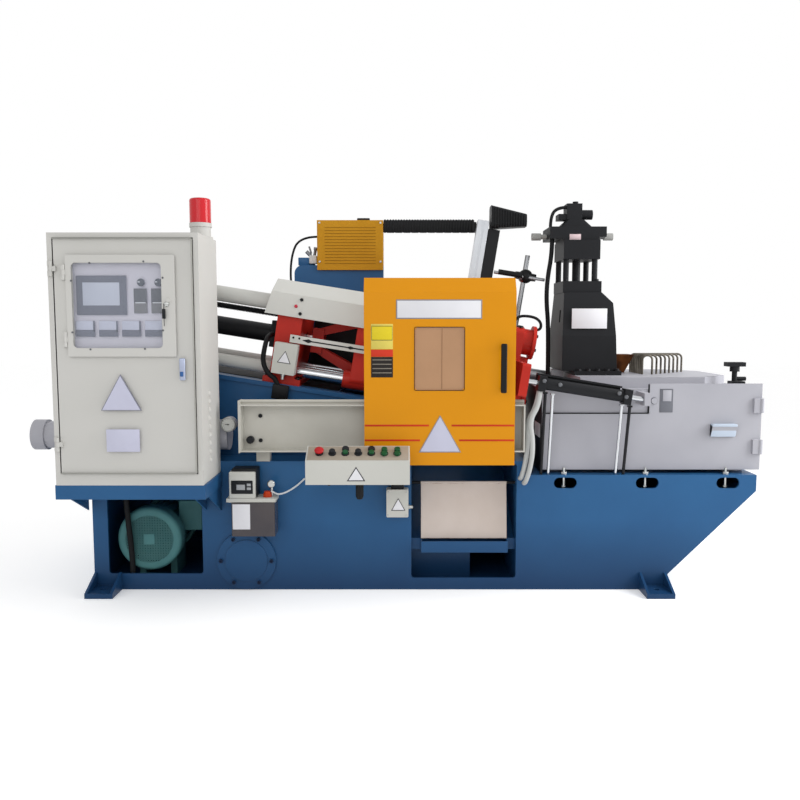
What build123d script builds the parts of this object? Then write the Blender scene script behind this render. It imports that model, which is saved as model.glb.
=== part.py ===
"""Hot-chamber die casting machine with an inclined clamp unit, in millimetres.

X runs along the machine from the cabinet to the furnace, Y away from the operator, Z up.
The origin is the middle of the four anchor-bolt holes, on the floor plane.
"""
import os
from math import atan2, cos, degrees, radians, sin, tan

from build123d import *

# Fabricated base
PLATE = 12
BASE_LEFT = -1319
BASE_HALF_DEPTH = 450
DECK_Z = 600
LEDGE_Z = 536
LEDGE_X0 = 660
BASE_RIGHT = 1717
TAIL_DROP = 74
TAIL_FOOT_X = 1325
TAIL_FOOT_Z = 73
BASE_FRONT = -BASE_HALF_DEPTH
INNER_HALF = BASE_HALF_DEPTH - PLATE

# Anchor feet
FOOT_WIDTH = 126
ANCHOR_X = -BASE_LEFT - FOOT_WIDTH / 2
ANCHOR_Y = BASE_HALF_DEPTH + 65
ANCHOR_HOLE_R = 13
FOOT_REACH = 130
FOOT_PAD = 22
FOOT_RISE = 82

# Motor bay and pump motor
MOTOR_BAY_X = (BASE_LEFT + 68, BASE_LEFT + 502)
MOTOR_BAY_Z = (75, 482)
BAY_CORNER_R = 14
MOTOR_X = BASE_LEFT + 239
MOTOR_AXIS_Z = 222
MOTOR_COWL_R = 150
MOTOR_BODY_R = 128
MOTOR_FRONT_Y = BASE_FRONT + 55
MOTOR_LENGTH = 330
COWL_DEPTH = 72
COWL_WALL = 4
COWL_EDGE_R = 18
GRILLE_PITCH = 24
GRILLE_HOLE = 15
FIN_COUNT = 20

# Drop bay, chute and tray
DROP_BAY_X = (142, 623)
DROP_BAY_Z = (55, 588)
CHUTE_X = (DROP_BAY_X[0] + 45, DROP_BAY_X[1] - 40)
CHUTE_FOOT = (BASE_FRONT + 20, 236)
CHUTE_HEAD = (BASE_FRONT + 55, 486)
CHUTE_SHEET = 6
CHUTE_LIP = 14
CHUTE_ROD_R = 6
SLOPE_FOOT = (BASE_FRONT + 74, 214)
SLOPE_SHEET = 10
SLOPE_WALL_X = 425
SLOPE_WALL_Y = -300
TRAY_Z = (180, 232)
TRAY_Y = (BASE_FRONT - 20, BASE_FRONT + 58)
SHEET = 3
DROP_HOLE_X = (DROP_BAY_X[0] + 18, DROP_BAY_X[1] - 18)
DROP_HOLE_HALF = 225

# Slots in the furnace ledge, each with a levelling bolt
SLOT_X = (845, 1219, 1587)
SLOT_Z = 499
SLOT_LENGTH = 105
SLOT_HEIGHT = 50

# Clean-out cover of the oil tank
COVER_X = BASE_LEFT + 704
COVER_Z = 140
COVER_R = 135
COVER_BOLT_RING = 116
COVER_BOLTS = 6

# Clamp axis: slopes down to the right, in the plane Y = 0
INCLINE = 9
AXIS_Z = 1088
BAR_HALF_HEIGHT = 156
BAR_HALF_WIDTH = 200
BAR_R = 25
BAR_FIT = 0.3
RUN_FIT = 0.08
SEAT = 0.3
BED_W = -220
PLATEN_HALF_WIDTH = 265
PLATEN_TOP_W = 220
PLATEN_TOE = 26
REAR_U = (-506, -388)
REAR_FOOT_U = (-536, -359)
MOVING_U = (-127, -17)
MOVING_W = (-180, 200)
MOVING_HALF_WIDTH = 250
FIXED_U = (495, 655)
BOSS_U = 715
BOSS_R = 62
BOSS_FLANGE_R = 80
BOSS_FLANGE = 16
NOZZLE_R = 30
NOZZLE_BORE_R = 55
CROSSHEAD_U = (-352, -296)
RAM_R = 22
RAM_BACK_U = -930
RAM_BORE_R = 34
BARREL_R = 45
BARREL_U = (-1120, -530)
GLAND_U = -506
GLAND_HALF = 66
SLEEVE_LEFT_U = -1080
SLEEVE_R = {1: 37, -1: 30}
SLEEVE_WALL = 5

# Inclined bed under the clamp unit
BED_X = (BASE_LEFT + 169, LEDGE_X0 - 20)
BED_HALF_WIDTH = PLATEN_HALF_WIDTH + 15
BED_RAIL_HALF = BED_HALF_WIDTH + 10
BED_PLATE = 20
BED_RAIL_INNER = BED_RAIL_HALF - 100
BED_DECK_U = ((BED_X[0], -170), (478, BED_X[1]))

# Clamp cover and travel scale
COVER_SHEET = 4
COVER_U = (-566, -72)
COVER_W = (100, 205, PLATEN_TOP_W + 48)
COVER_FOLD = 60
COVER_ROOF = 140
COVER_NOTCH = 32
COVER_STRUT_U = (-480, -420)
CLAMP_COVER_FRONT = PLATEN_HALF_WIDTH + 27
SCALE_U = (-430, -62)
SCALE_HALF = 18
SCALE_V = PLATEN_HALF_WIDTH + 35
SWITCH_U = (-492, -384)
SWITCH_FRONT = PLATEN_HALF_WIDTH + 63
SWITCH_W = (-170, -24)

# Guard: channel beam, track and sliding door
RAIL_X = (-622, 645)
RAIL_Z = (DECK_Z + 54, DECK_Z + 266)
RAIL_FRONT = BASE_FRONT - 80
RAIL_BACK = BASE_FRONT - 6
RAIL_SHEET = 6
TRACK_R = 8
TRACK_Y = BASE_FRONT - 38
DOOR_X = (-68, 598)
DOOR_Z = (DECK_Z - 3, DECK_Z + 824)
DOOR_BEVEL_Z = DOOR_Z[1] - 63
DOOR_BEVEL_BACK = 42
DOOR_FRONT = RAIL_FRONT - 10
DOOR_FLANGE = 40
WINDOW_X = (DOOR_X[0] + 223, DOOR_X[0] + 440)
WINDOW_Z = (DOOR_Z[0] + 335, DOOR_Z[0] + 610)
WINDOW_R = 14
PANE = 5
HANDLE_X = DOOR_X[1] - 57
HANDLE_Z = (DOOR_Z[0] + 326, DOOR_Z[0] + 540)
HANDLE_GRIP = 36
HANDLE_BAR = 16
ROLLER_R = 28
ROLLER_GROOVE = 6
ROLLER_WIDTH = 20
ROLLER_INSET = 96
ROLLER_PIN_R = 8
REAR_GUARD_X = (30, 640)
REAR_GUARD_TOP = DECK_Z + 650
REAR_GUARD_FLANGE = 30

# Cabinet with its two hinged doors, on a shelf
CAB_X = (BASE_LEFT - 21, BASE_LEFT + 592)
CAB_FRONT = BASE_FRONT - 320
CAB_Z = (DECK_Z - 47, DECK_Z + 990)
CAB_SHEET = 3
CAB_DOOR_X = (CAB_X[0] + 25, CAB_X[1] - 26)
CAB_DOOR_Z = (CAB_Z[0] + 53, CAB_Z[1] - 25)
DOOR_GAP = 5
CAB_DOOR_DEPTH = 20
INSTR_HOLE_X = (CAB_DOOR_X[0] + 75, CAB_DOOR_X[0] + 439)
INSTR_HOLE_Z = (CAB_DOOR_Z[1] - 441, CAB_DOOR_Z[1] - 97)
INSTR_DOOR_X = (INSTR_HOLE_X[0] - 23, INSTR_HOLE_X[1] + 54)
INSTR_DOOR_Z = (INSTR_HOLE_Z[0] - 35, INSTR_HOLE_Z[1] + 32)
INSTR_DOOR_DEPTH = 10
INSTR_GAP = 5
PANEL_RECESS = 14
PANEL_LIFT = 8
PANEL_EDGE = 12
LATCH_X = CAB_DOOR_X[1] - 46
LATCH_Z = (CAB_DOOR_Z[0] + 386, CAB_DOOR_Z[0] + 477)
LOCK_Z = INSTR_HOLE_Z[0] + 194
SCREEN_X = (INSTR_HOLE_X[0] + 11, INSTR_HOLE_X[0] + 217)
SCREEN_Z = (INSTR_HOLE_Z[0] + 134, INSTR_HOLE_Z[0] + 294)
SCREEN_DEPTH = 45
CONTROLLER_X = (INSTR_HOLE_X[0] + 272, INSTR_HOLE_X[0] + 343)
CONTROLLER_HALF = 27
CONTROLLER_Z = (INSTR_HOLE_Z[0] + 141, INSTR_HOLE_Z[0] + 242)
KNOB_Z = INSTR_HOLE_Z[0] + 266
KNOB_R = 16
METER_X0 = INSTR_HOLE_X[0] + 6
METER_PITCH = 94
METER_WIDTH = 76
METER_Z = (INSTR_HOLE_Z[0] + 47, INSTR_HOLE_Z[0] + 110)
METER_COUNT = 4
DUCT_ROWS = (CAB_Z[0] + 207, CAB_Z[0] + 467, CAB_Z[0] + 727)
HINGE_R = 7
HINGE_PIN_R = 3
HINGE_LENGTH = 60
SHELF_X = (CAB_X[0] - 5, CAB_X[1] + 7)
SHELF_HEIGHT = 60
SHELF_PLATE = 6
BEACON_X = CAB_X[1] - 54
BEACON_Y = BASE_FRONT - 50
BEACON_R = 46
BEACON_POST_R = 44
BEACON_Z = (CAB_Z[1] + 69, CAB_Z[1] + 175)

# Button box under the guard beam
BUTTON_BOX_X = (DROP_BAY_X[0] - 453, DROP_BAY_X[0] - 10)
BUTTON_BOX_FRONT = BASE_FRONT - 260
BUTTON_BOX_BACK = BASE_FRONT - 170
BUTTON_BOX_Z = (DECK_Z - 57, DECK_Z + 46, DECK_Z + 96)
BUTTON_X0 = BUTTON_BOX_X[0] + 56
BUTTON_PITCH = 55.6
BUTTON_COUNT = 7
BUTTON_R = 15
BUTTON_ARM_X = (BUTTON_BOX_X[0] + 71, BUTTON_BOX_X[1] - 52)
JUNCTION_X = (DROP_BAY_X[0] - 113, DROP_BAY_X[0] - 14)
JUNCTION_Z = (DECK_Z - 246, DECK_Z - 120)
JUNCTION_DEPTH = 60

# Lubricator
LUBE_X = (BASE_LEFT + 635, BASE_LEFT + 856)
LUBE_DEPTH = 100
LUBE_LID_Z = 449
RESERVOIR_Z = (LUBE_LID_Z - 172, LUBE_LID_Z - 20)
LUBE_HEAD_X = (LUBE_X[0] + 14, LUBE_X[0] + 131)
LUBE_HEAD_Z = LUBE_LID_Z + 122

# Oil cooler behind the cabinet
COOLER_X = (BASE_LEFT - 280, BASE_LEFT + 619)
COOLER_Y = BASE_FRONT + 85
COOLER_Z = DECK_Z + 111
COOLER_R = 70
COOLER_CAP = 60
SADDLE_X = (COOLER_X[0] + 359, COOLER_X[1] - 160)
GAUGE_X = COOLER_X[1] + 14
GAUGE_Z = COOLER_Z + 58
GAUGE_R = 34

# Upright tank and its hood
TANK_X = (-478, 0)
TANK_Y = (INNER_HALF - 138, INNER_HALF - 2)
TANK_TOP = 1537
HOOD_X = (TANK_X[0] + 124, TANK_X[1])
HOOD_Y = (TANK_Y[0] - 15, TANK_Y[1])
HOOD_TOP = TANK_TOP + 236
HOOD_LIP = 27

# Furnace
FURNACE_X = (LEDGE_X0 + 81, BASE_RIGHT + 28)
FURNACE_Y = (BASE_FRONT + 48, BASE_HALF_DEPTH - 50)
FURNACE_Z = (LEDGE_Z + 26, LEDGE_Z + 389)
NOZZLE_U = (FIXED_U[0] + 45, FURNACE_X[0] + 109)
PANEL_SHEET = 8
PANEL_STEP_X = FURNACE_X[0] + 490
PANEL_STEP_Z = FURNACE_Z[1] - 113
PANEL_TOP = FURNACE_Z[1] + 26
LID_X = (FURNACE_X[0] + 189, FURNACE_X[1] - 85)
LID_HALF = 330
LID_Z = FURNACE_Z[1] + 50
LID_CHAMFER = 150
HOOP_LEFT = LID_X[0] + 351
HOOP_X0 = HOOP_LEFT + 48
HOOP_PITCH = 31
HOOP_COUNT = 8
HOOP_R = 5
HOOP_TOP = LID_Z + 93
HOOP_Y = (-120, 90)
HOOP_BEND = 22
HOPPER = (LID_X[0] + 283, 60)
HOPPER_RISE = 92
LATCH_PLACE = (PANEL_STEP_X + 21, PANEL_STEP_Z + 60)
PULL_X = (PANEL_STEP_X + 280, PANEL_STEP_X + 394)
PULL_Z = (PANEL_STEP_Z - 104, PANEL_STEP_Z - 44)
PULL_DEPTH = 34
HINGE_ROWS = (FURNACE_Z[0] + 66, FURNACE_Z[0] + 256)
LEVER_X = FURNACE_X[1] - 85
LEVER_Y = FURNACE_Y[0] + 102

# Shot unit
SHOT_X = (LID_X[0] - 54, LID_X[0] + 205)
SHOT_HALF = 170
SHOT_FOOT = 20
SHOT_TOP = 1375
SHOT_KNEE_Z = SHOT_TOP - 210
SHOT_TOP_HALF = 130
SHOT_CHAMFER = 52
SHOT_BASE = 55
SHOT_BASE_X = (SHOT_X[0] + 8, SHOT_X[1] - 63)
SHOT_BASE_HALF = 118
SHOT_ROD_R = 14
SHOT_ROD_LENGTH = 106
SHOT_AXIS_X = SHOT_X[0] + 96
PLUNGER_R = 20
SHOT_HEAD_X = (SHOT_AXIS_X - 87, SHOT_AXIS_X + 90)
SHOT_WING_X = (SHOT_AXIS_X - 152, SHOT_AXIS_X + 124)
SHOT_HEAD_HALF = 120
SHOT_WING_HALF = 100
SHOT_HEAD_RISE = (92, 100, 108, 158)
SHOT_NECK = 40
VALVE_X = (SHOT_AXIS_X - 60, SHOT_AXIS_X + 15)
VALVE_HALF = 45
VALVE_RISE = 78
SOLENOID_R = 24
KNOB_REACH = (73, 54)
KNOB_HEAD = 44

# Docking cylinder in front of the furnace
DOCK_V = BASE_FRONT - 60
DOCK_W = -14
DOCK_R = 26.5
DOCK_U = (712, 1129)
DOCK_ROD_R = 11
DOCK_ARM_U = (630, 668)
DOCK_LUG_U = 1186
DOCK_LUG = 28
STAY_X = (735, 768, 1076, 1112)
STAY_R = 7
STAY_DROP = 10
STAY_FOOT_Y = BASE_FRONT + 18

# Spray unit and rod stand
MAST_U = (428, 486)
MAST_HALF = 22
MAST_TOP_W = PLATEN_TOP_W + 460
ARM_U = (MAST_U[0] - 58, MAST_U[0] - 2)
ARM_HALF = 28
ARM_W = (MAST_TOP_W - 350, MAST_TOP_W + 36)
STAND_U = 645
STAND_R = 12
STAND_TOP_W = PLATEN_TOP_W + 363
CROSS_R = 8
CROSS_W = PLATEN_TOP_W + 254
CROSS_U = (490, 745)

CHAIN_Y = (TANK_Y[0] - 10, TANK_Y[0] + 46)
CHAIN_END_X = 560
CHAIN_Z = (HOOD_TOP - 61, HOOD_TOP - 9)
CHAIN_LINK = 44
CHAIN_ARM_X = (526, 560)
CHAIN_ARM_Z = (1652, 1668)
NOSE_X = (540, 716)
NOSE_HEIGHT = (114, 62)
NOSE_DEPTH = (104, 90)
NOSE_RISE = 10
SPRAY_TIE_W = (PLATEN_TOP_W + 200, PLATEN_TOP_W + 260)

# Hoses and conduits, each between two housings
CLAMP_HOSE_R = 12
CLAMP_HOSE_V = -PLATEN_HALF_WIDTH - 38
PLUG_U = (-475, -400)
PLUG_W = (BED_W - 70, BED_W - 2)
PLUG_FRONT = BED_RAIL_HALF + 35
VALVE_HOSE_R = 8
FALL_HOSE_R = 11
ARC_HOSE_R = 7
BAY_HOSE_R = 13
BAY_HOSE_Y = BASE_FRONT + 35
LEAD_R = 6
CONDUIT_R = 11

NODES = {}
incline = Pos(0, 0, AXIS_Z) * Rot(0, INCLINE, 0)


def block(x, y, z):
    """A box between two limits along each axis."""
    middle = Pos((x[0] + x[1]) / 2, (y[0] + y[1]) / 2, (z[0] + z[1]) / 2)
    return middle * Box(x[1] - x[0], y[1] - y[0], z[1] - z[0])


def rod_x(x, y, z, r):
    """A round bar along X between two limits."""
    return Pos((x[0] + x[1]) / 2, y, z) * Rot(0, 90, 0) * Cylinder(r, x[1] - x[0])


def rod_y(x, y, z, r):
    """A round bar along Y between two limits."""
    return Pos(x, (y[0] + y[1]) / 2, z) * Rot(90, 0, 0) * Cylinder(r, y[1] - y[0])


def rod_z(x, y, z, r):
    """A round bar along Z between two limits."""
    return Pos(x, y, (z[0] + z[1]) / 2) * Cylinder(r, z[1] - z[0])


def slab_xz(points, y):
    """A plate with its outline in the XZ plane, between two Y limits."""
    face = Plane.XZ * Polygon(*points, align=None)
    return Pos(0, y[0], 0) * extrude(face, amount=y[1] - y[0], dir=(0, 1, 0))


def slab_yz(points, x):
    """A bar with its section in the YZ plane, between two X limits."""
    face = Plane.YZ * Polygon(*points, align=None)
    return Pos(x[0], 0, 0) * extrude(face, amount=x[1] - x[0], dir=(1, 0, 0))


def opening_xz(x, z, r, y):
    """A round-cornered opening through a plate that stands in the XZ plane."""
    face = Plane.XZ * Pos((x[0] + x[1]) / 2, (z[0] + z[1]) / 2) * RectangleRounded(x[1] - x[0], z[1] - z[0], r)
    return Pos(0, y[0], 0) * extrude(face, amount=y[1] - y[0], dir=(0, 1, 0))


def node(name, *solids):
    """Keep one named piece, made of one or more solids."""
    found = []
    for solid in solids:
        found += solid.solids()
    NODES[name] = Compound(children=found) if len(found) > 1 else found[0]
    NODES[name].label = name


def clamp_point(u, w):
    """X and Z of a place given along and square to the clamp axis."""
    a = radians(INCLINE)
    return u * cos(a) + w * sin(a), AXIS_Z - u * sin(a) + w * cos(a)


def bed_z(x):
    """Height of the bed's top surface at a place along the machine."""
    slope = radians(INCLINE)
    return AXIS_Z - x * tan(slope) + BED_W / cos(slope)


def base():
    """Side plates with their cut-outs, bulkheads, decks, feet and the round cover."""
    outline = [(BASE_LEFT, 0), (TAIL_FOOT_X, 0), (TAIL_FOOT_X, TAIL_FOOT_Z), (BASE_RIGHT, LEDGE_Z - TAIL_DROP),
               (BASE_RIGHT, LEDGE_Z), (LEDGE_X0, LEDGE_Z), (LEDGE_X0, DECK_Z), (BASE_LEFT, DECK_Z)]
    front = (BASE_FRONT, -INNER_HALF)
    back = (INNER_HALF, BASE_HALF_DEPTH)
    through = (BASE_FRONT - PLATE, PLATE - INNER_HALF)
    motor_bay = opening_xz(MOTOR_BAY_X, MOTOR_BAY_Z, BAY_CORNER_R, through)
    front_plate = slab_xz(outline, front) - motor_bay
    front_plate -= opening_xz(DROP_BAY_X, DROP_BAY_Z, BAY_CORNER_R, through)
    for x in SLOT_X:
        slot = (x - SLOT_LENGTH / 2, x + SLOT_LENGTH / 2), (SLOT_Z - SLOT_HEIGHT / 2, SLOT_Z + SLOT_HEIGHT / 2)
        front_plate -= opening_xz(*slot, SLOT_HEIGHT / 2 - 0.1, through)
    node("base_front_plate", front_plate)
    rear_bay = opening_xz(MOTOR_BAY_X, MOTOR_BAY_Z, BAY_CORNER_R, (INNER_HALF - PLATE, BASE_HALF_DEPTH + PLATE))
    node("base_back_plate", slab_xz(outline, back) - rear_bay)

    depth = (-INNER_HALF, INNER_HALF)
    deck_under = DECK_Z - PLATE
    walls = [block((x, x + PLATE), depth, (PLATE, deck_under))
             for x in (MOTOR_BAY_X[1] + PLATE, DROP_BAY_X[0] - PLATE, DROP_BAY_X[1])]
    left_end = block((BASE_LEFT, BASE_LEFT + PLATE), depth, (PLATE, deck_under))
    tail_dx = BASE_RIGHT - TAIL_FOOT_X
    tail_dz = LEDGE_Z - TAIL_DROP - TAIL_FOOT_Z
    skin = PLATE / sin(atan2(tail_dz, tail_dx))
    tail = slab_xz([(TAIL_FOOT_X - skin, PLATE), (TAIL_FOOT_X, PLATE), (TAIL_FOOT_X, TAIL_FOOT_Z),
                    (BASE_RIGHT, LEDGE_Z - TAIL_DROP), (BASE_RIGHT, LEDGE_Z - PLATE),
                    (BASE_RIGHT - skin, LEDGE_Z - PLATE), (BASE_RIGHT - skin, LEDGE_Z - TAIL_DROP + PLATE / 2),
                    (TAIL_FOOT_X - skin, TAIL_FOOT_Z + PLATE / 2)], depth)
    bay_roof = block((BASE_LEFT + PLATE, MOTOR_BAY_X[1] + PLATE), depth, (MOTOR_BAY_Z[1] + PLATE, MOTOR_BAY_Z[1] + 2 * PLATE))
    node("base_bulkheads", *walls, left_end, tail, bay_roof)

    drop_hole = block(DROP_HOLE_X, (-DROP_HOLE_HALF, DROP_HOLE_HALF), (deck_under - PLATE, DECK_Z + PLATE))
    deck = block((BASE_LEFT, LEDGE_X0), depth, (deck_under, DECK_Z)) - drop_hole
    riser = block((LEDGE_X0 - PLATE, LEDGE_X0), depth, (LEDGE_Z - PLATE, deck_under))
    ledge = block((LEDGE_X0, BASE_RIGHT), depth, (LEDGE_Z - PLATE, LEDGE_Z))
    floor = block((BASE_LEFT, TAIL_FOOT_X), depth, (0, PLATE))
    node("base_decks", deck + riser + ledge, floor)

    feet = []
    for sx in (-1, 1):
        for sy in (-1, 1):
            feet.append(anchor_foot(sx, sy))
    node("anchor_feet", *feet)

    disc = rod_y(COVER_X, (BASE_FRONT - PLATE, BASE_FRONT), COVER_Z, COVER_R)
    disc += rod_y(COVER_X, (BASE_FRONT - PLATE - 4, BASE_FRONT), COVER_Z, COVER_R - 38)
    for k in range(COVER_BOLTS):
        a = radians(360 / COVER_BOLTS * k)
        place = COVER_X + COVER_BOLT_RING * cos(a), COVER_Z + COVER_BOLT_RING * sin(a)
        disc += rod_y(place[0], (BASE_FRONT - PLATE - 8, BASE_FRONT), place[1], 9)
    node("clean_out_cover", disc)


def anchor_foot(sx, sy):
    """A bolted foot: flat pad, two wedge gussets and a sloping cheek against the base."""
    x = (sx * ANCHOR_X - FOOT_WIDTH / 2, sx * ANCHOR_X + FOOT_WIDTH / 2)
    root = BASE_HALF_DEPTH
    tip = BASE_HALF_DEPTH + FOOT_REACH
    pad = block(x, (root, tip), (0, FOOT_PAD))
    wedge = [(root, 0), (tip, 0), (tip, FOOT_PAD), (root, FOOT_RISE)]
    foot = pad
    for x0 in (x[0], x[1] - PLATE):
        foot += slab_yz(wedge, (x0, x0 + PLATE))
    foot -= rod_z(sx * ANCHOR_X, ANCHOR_Y, (-PLATE, 2 * FOOT_PAD), ANCHOR_HOLE_R)
    return foot if sy > 0 else mirror(foot, Plane.XZ)


def bed():
    """Wedge side plates, top rails parallel to the clamp axis, and cross decks."""
    under = BED_PLATE / cos(radians(INCLINE))
    sides = []
    for s in (-1, 1):
        y = sorted((s * BED_HALF_WIDTH, s * (BED_HALF_WIDTH - BED_PLATE)))
        points = [(BED_X[0], DECK_Z), (BED_X[1], DECK_Z), (BED_X[1], bed_z(BED_X[1]) - under),
                  (BED_X[0], bed_z(BED_X[0]) - under)]
        plate = slab_xz(points, y)
        rail_v = sorted((s * BED_RAIL_HALF, s * BED_RAIL_INNER))
        rail = incline * block((BED_DECK_U[0][0], BED_DECK_U[1][1]), rail_v, (BED_W - BED_PLATE, BED_W))
        sides.append(plate + rail)
    inner = (-BED_RAIL_INNER, BED_RAIL_INNER)
    decks = [incline * block(u, inner, (BED_W - BED_PLATE, BED_W)) for u in BED_DECK_U]
    body = sides[0] + decks[0] + decks[1] + sides[1]
    end = block((BED_X[0], BED_X[0] + BED_PLATE), (BED_PLATE - BED_HALF_WIDTH, BED_HALF_WIDTH - BED_PLATE),
                (DECK_Z, bed_z(BED_X[0]) - 2 * BED_PLATE))
    node("inclined_bed", body, end)


def drop_bay():
    """Hung drop sheet with folded sides, the slope behind it and the front tray."""
    (y0, z0), (y1, z1) = CHUTE_FOOT, CHUTE_HEAD
    lean = atan2(y1 - y0, z1 - z0)
    thick = CHUTE_SHEET / cos(lean)
    chute = slab_yz([(y0, z0), (y1, z1), (y1 + thick, z1), (y0 + thick, z0)], CHUTE_X)
    for x in (CHUTE_X[0], CHUTE_X[1] - SHEET):
        chute += slab_yz([(y0 + 1, z0), (y1 + 1, z1), (y1 + CHUTE_LIP, z1), (y0 + CHUTE_LIP, z0)], (x, x + SHEET))
    rod_at = y1 + thick / 2, z1 + CHUTE_ROD_R - 1
    chute += rod_x((DROP_BAY_X[0] + SEAT, DROP_BAY_X[1] - SEAT), *rod_at, CHUTE_ROD_R)
    node("drop_chute", chute)

    (y0, z0), top = SLOPE_FOOT, DECK_Z - PLATE
    reach = DROP_HOLE_HALF + 30
    slope = atan2(top - z0, reach - y0)
    fall = SLOPE_SHEET / cos(slope)
    back = slab_yz([(y0, z0), (reach, top), (reach, top - fall), (y0, z0 - fall)], DROP_BAY_X)
    wall_top = z0 + (SLOPE_WALL_Y - y0) * tan(slope) - fall / 2
    wall = block((DROP_BAY_X[0], SLOPE_WALL_X), (SLOPE_WALL_Y, SLOPE_WALL_Y + PLATE), (PLATE, wall_top))
    NODES["base_bulkheads"] = Compound(children=list(NODES["base_bulkheads"].solids()) + (back + wall).solids())

    tray = block(CHUTE_X, TRAY_Y, TRAY_Z)
    tray -= block((CHUTE_X[0] + SHEET, CHUTE_X[1] - SHEET), (TRAY_Y[0] + SHEET, TRAY_Y[1] + 1),
                  (TRAY_Z[0] + SHEET, TRAY_Z[1] + 1))
    for x in ((DROP_BAY_X[0], CHUTE_X[0]), (CHUTE_X[1], DROP_BAY_X[1])):
        tray += block(x, (TRAY_Y[1] - 18, TRAY_Y[1] - 12), TRAY_Z)
    node("chute_tray", tray)


def motor():
    """Finned motor on feet, with a round cowl and a grille of square holes."""
    y_end = MOTOR_FRONT_Y + MOTOR_LENGTH
    y0 = MOTOR_FRONT_Y + COWL_DEPTH
    body = rod_y(MOTOR_X, (y0, y_end), MOTOR_AXIS_Z, MOTOR_BODY_R - 10)
    fin = Pos(0, 0, (MOTOR_BODY_R - 6) / 2) * Box(4, y_end - y0 - 50, MOTOR_BODY_R - 6)
    for k in range(FIN_COUNT):
        body += Pos(MOTOR_X, (y0 + y_end) / 2, MOTOR_AXIS_Z) * Rot(0, 360 / FIN_COUNT * k, 0) * fin
    body += rod_y(MOTOR_X, (y_end, y_end + 30), MOTOR_AXIS_Z, MOTOR_BODY_R + 6)
    body += rod_y(MOTOR_X, (y_end + 30, y_end + 110), MOTOR_AXIS_Z, 60)
    for x in (MOTOR_X - 90, MOTOR_X + 60):
        body += block((x, x + 30), (y0 + 60, y_end - 40), (PLATE, MOTOR_AXIS_Z - MOTOR_BODY_R + 45))
    node("pump_motor", body)

    cowl = rod_y(MOTOR_X, (MOTOR_FRONT_Y, y0), MOTOR_AXIS_Z, MOTOR_COWL_R)
    cowl = fillet(cowl.edges().group_by(Axis.Y)[0], COWL_EDGE_R)
    core = rod_y(MOTOR_X, (MOTOR_FRONT_Y + COWL_WALL, y0 - COWL_WALL), MOTOR_AXIS_Z, MOTOR_COWL_R - COWL_WALL)
    cowl -= fillet(core.edges().group_by(Axis.Y)[0], COWL_EDGE_R - COWL_WALL)
    half = GRILLE_HOLE / 2
    reach = int(MOTOR_COWL_R / GRILLE_PITCH)
    depth = (MOTOR_FRONT_Y - COWL_WALL, MOTOR_FRONT_Y + 2 * COWL_WALL)
    holes = []
    for i in range(-reach, reach + 1):
        for j in range(-reach, reach + 1):
            if GRILLE_PITCH * (i * i + j * j) ** 0.5 < MOTOR_COWL_R - COWL_EDGE_R - GRILLE_HOLE:
                x = MOTOR_X + GRILLE_PITCH * i
                z = MOTOR_AXIS_Z + GRILLE_PITCH * j
                holes.append(block((x - half, x + half), depth, (z - half, z + half)))
    cowl -= holes
    node("motor_cowl", cowl)


def bar_places():
    """The four tie-bar places round the clamp axis."""
    return [(sv * BAR_HALF_WIDTH, sw * BAR_HALF_HEIGHT) for sv in (-1, 1) for sw in (-1, 1)]


def platen_xz(points, half_width):
    """A platen with its outline in the plane of the clamp axis and vertical."""
    return slab_xz(points, (-half_width, half_width))


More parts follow.
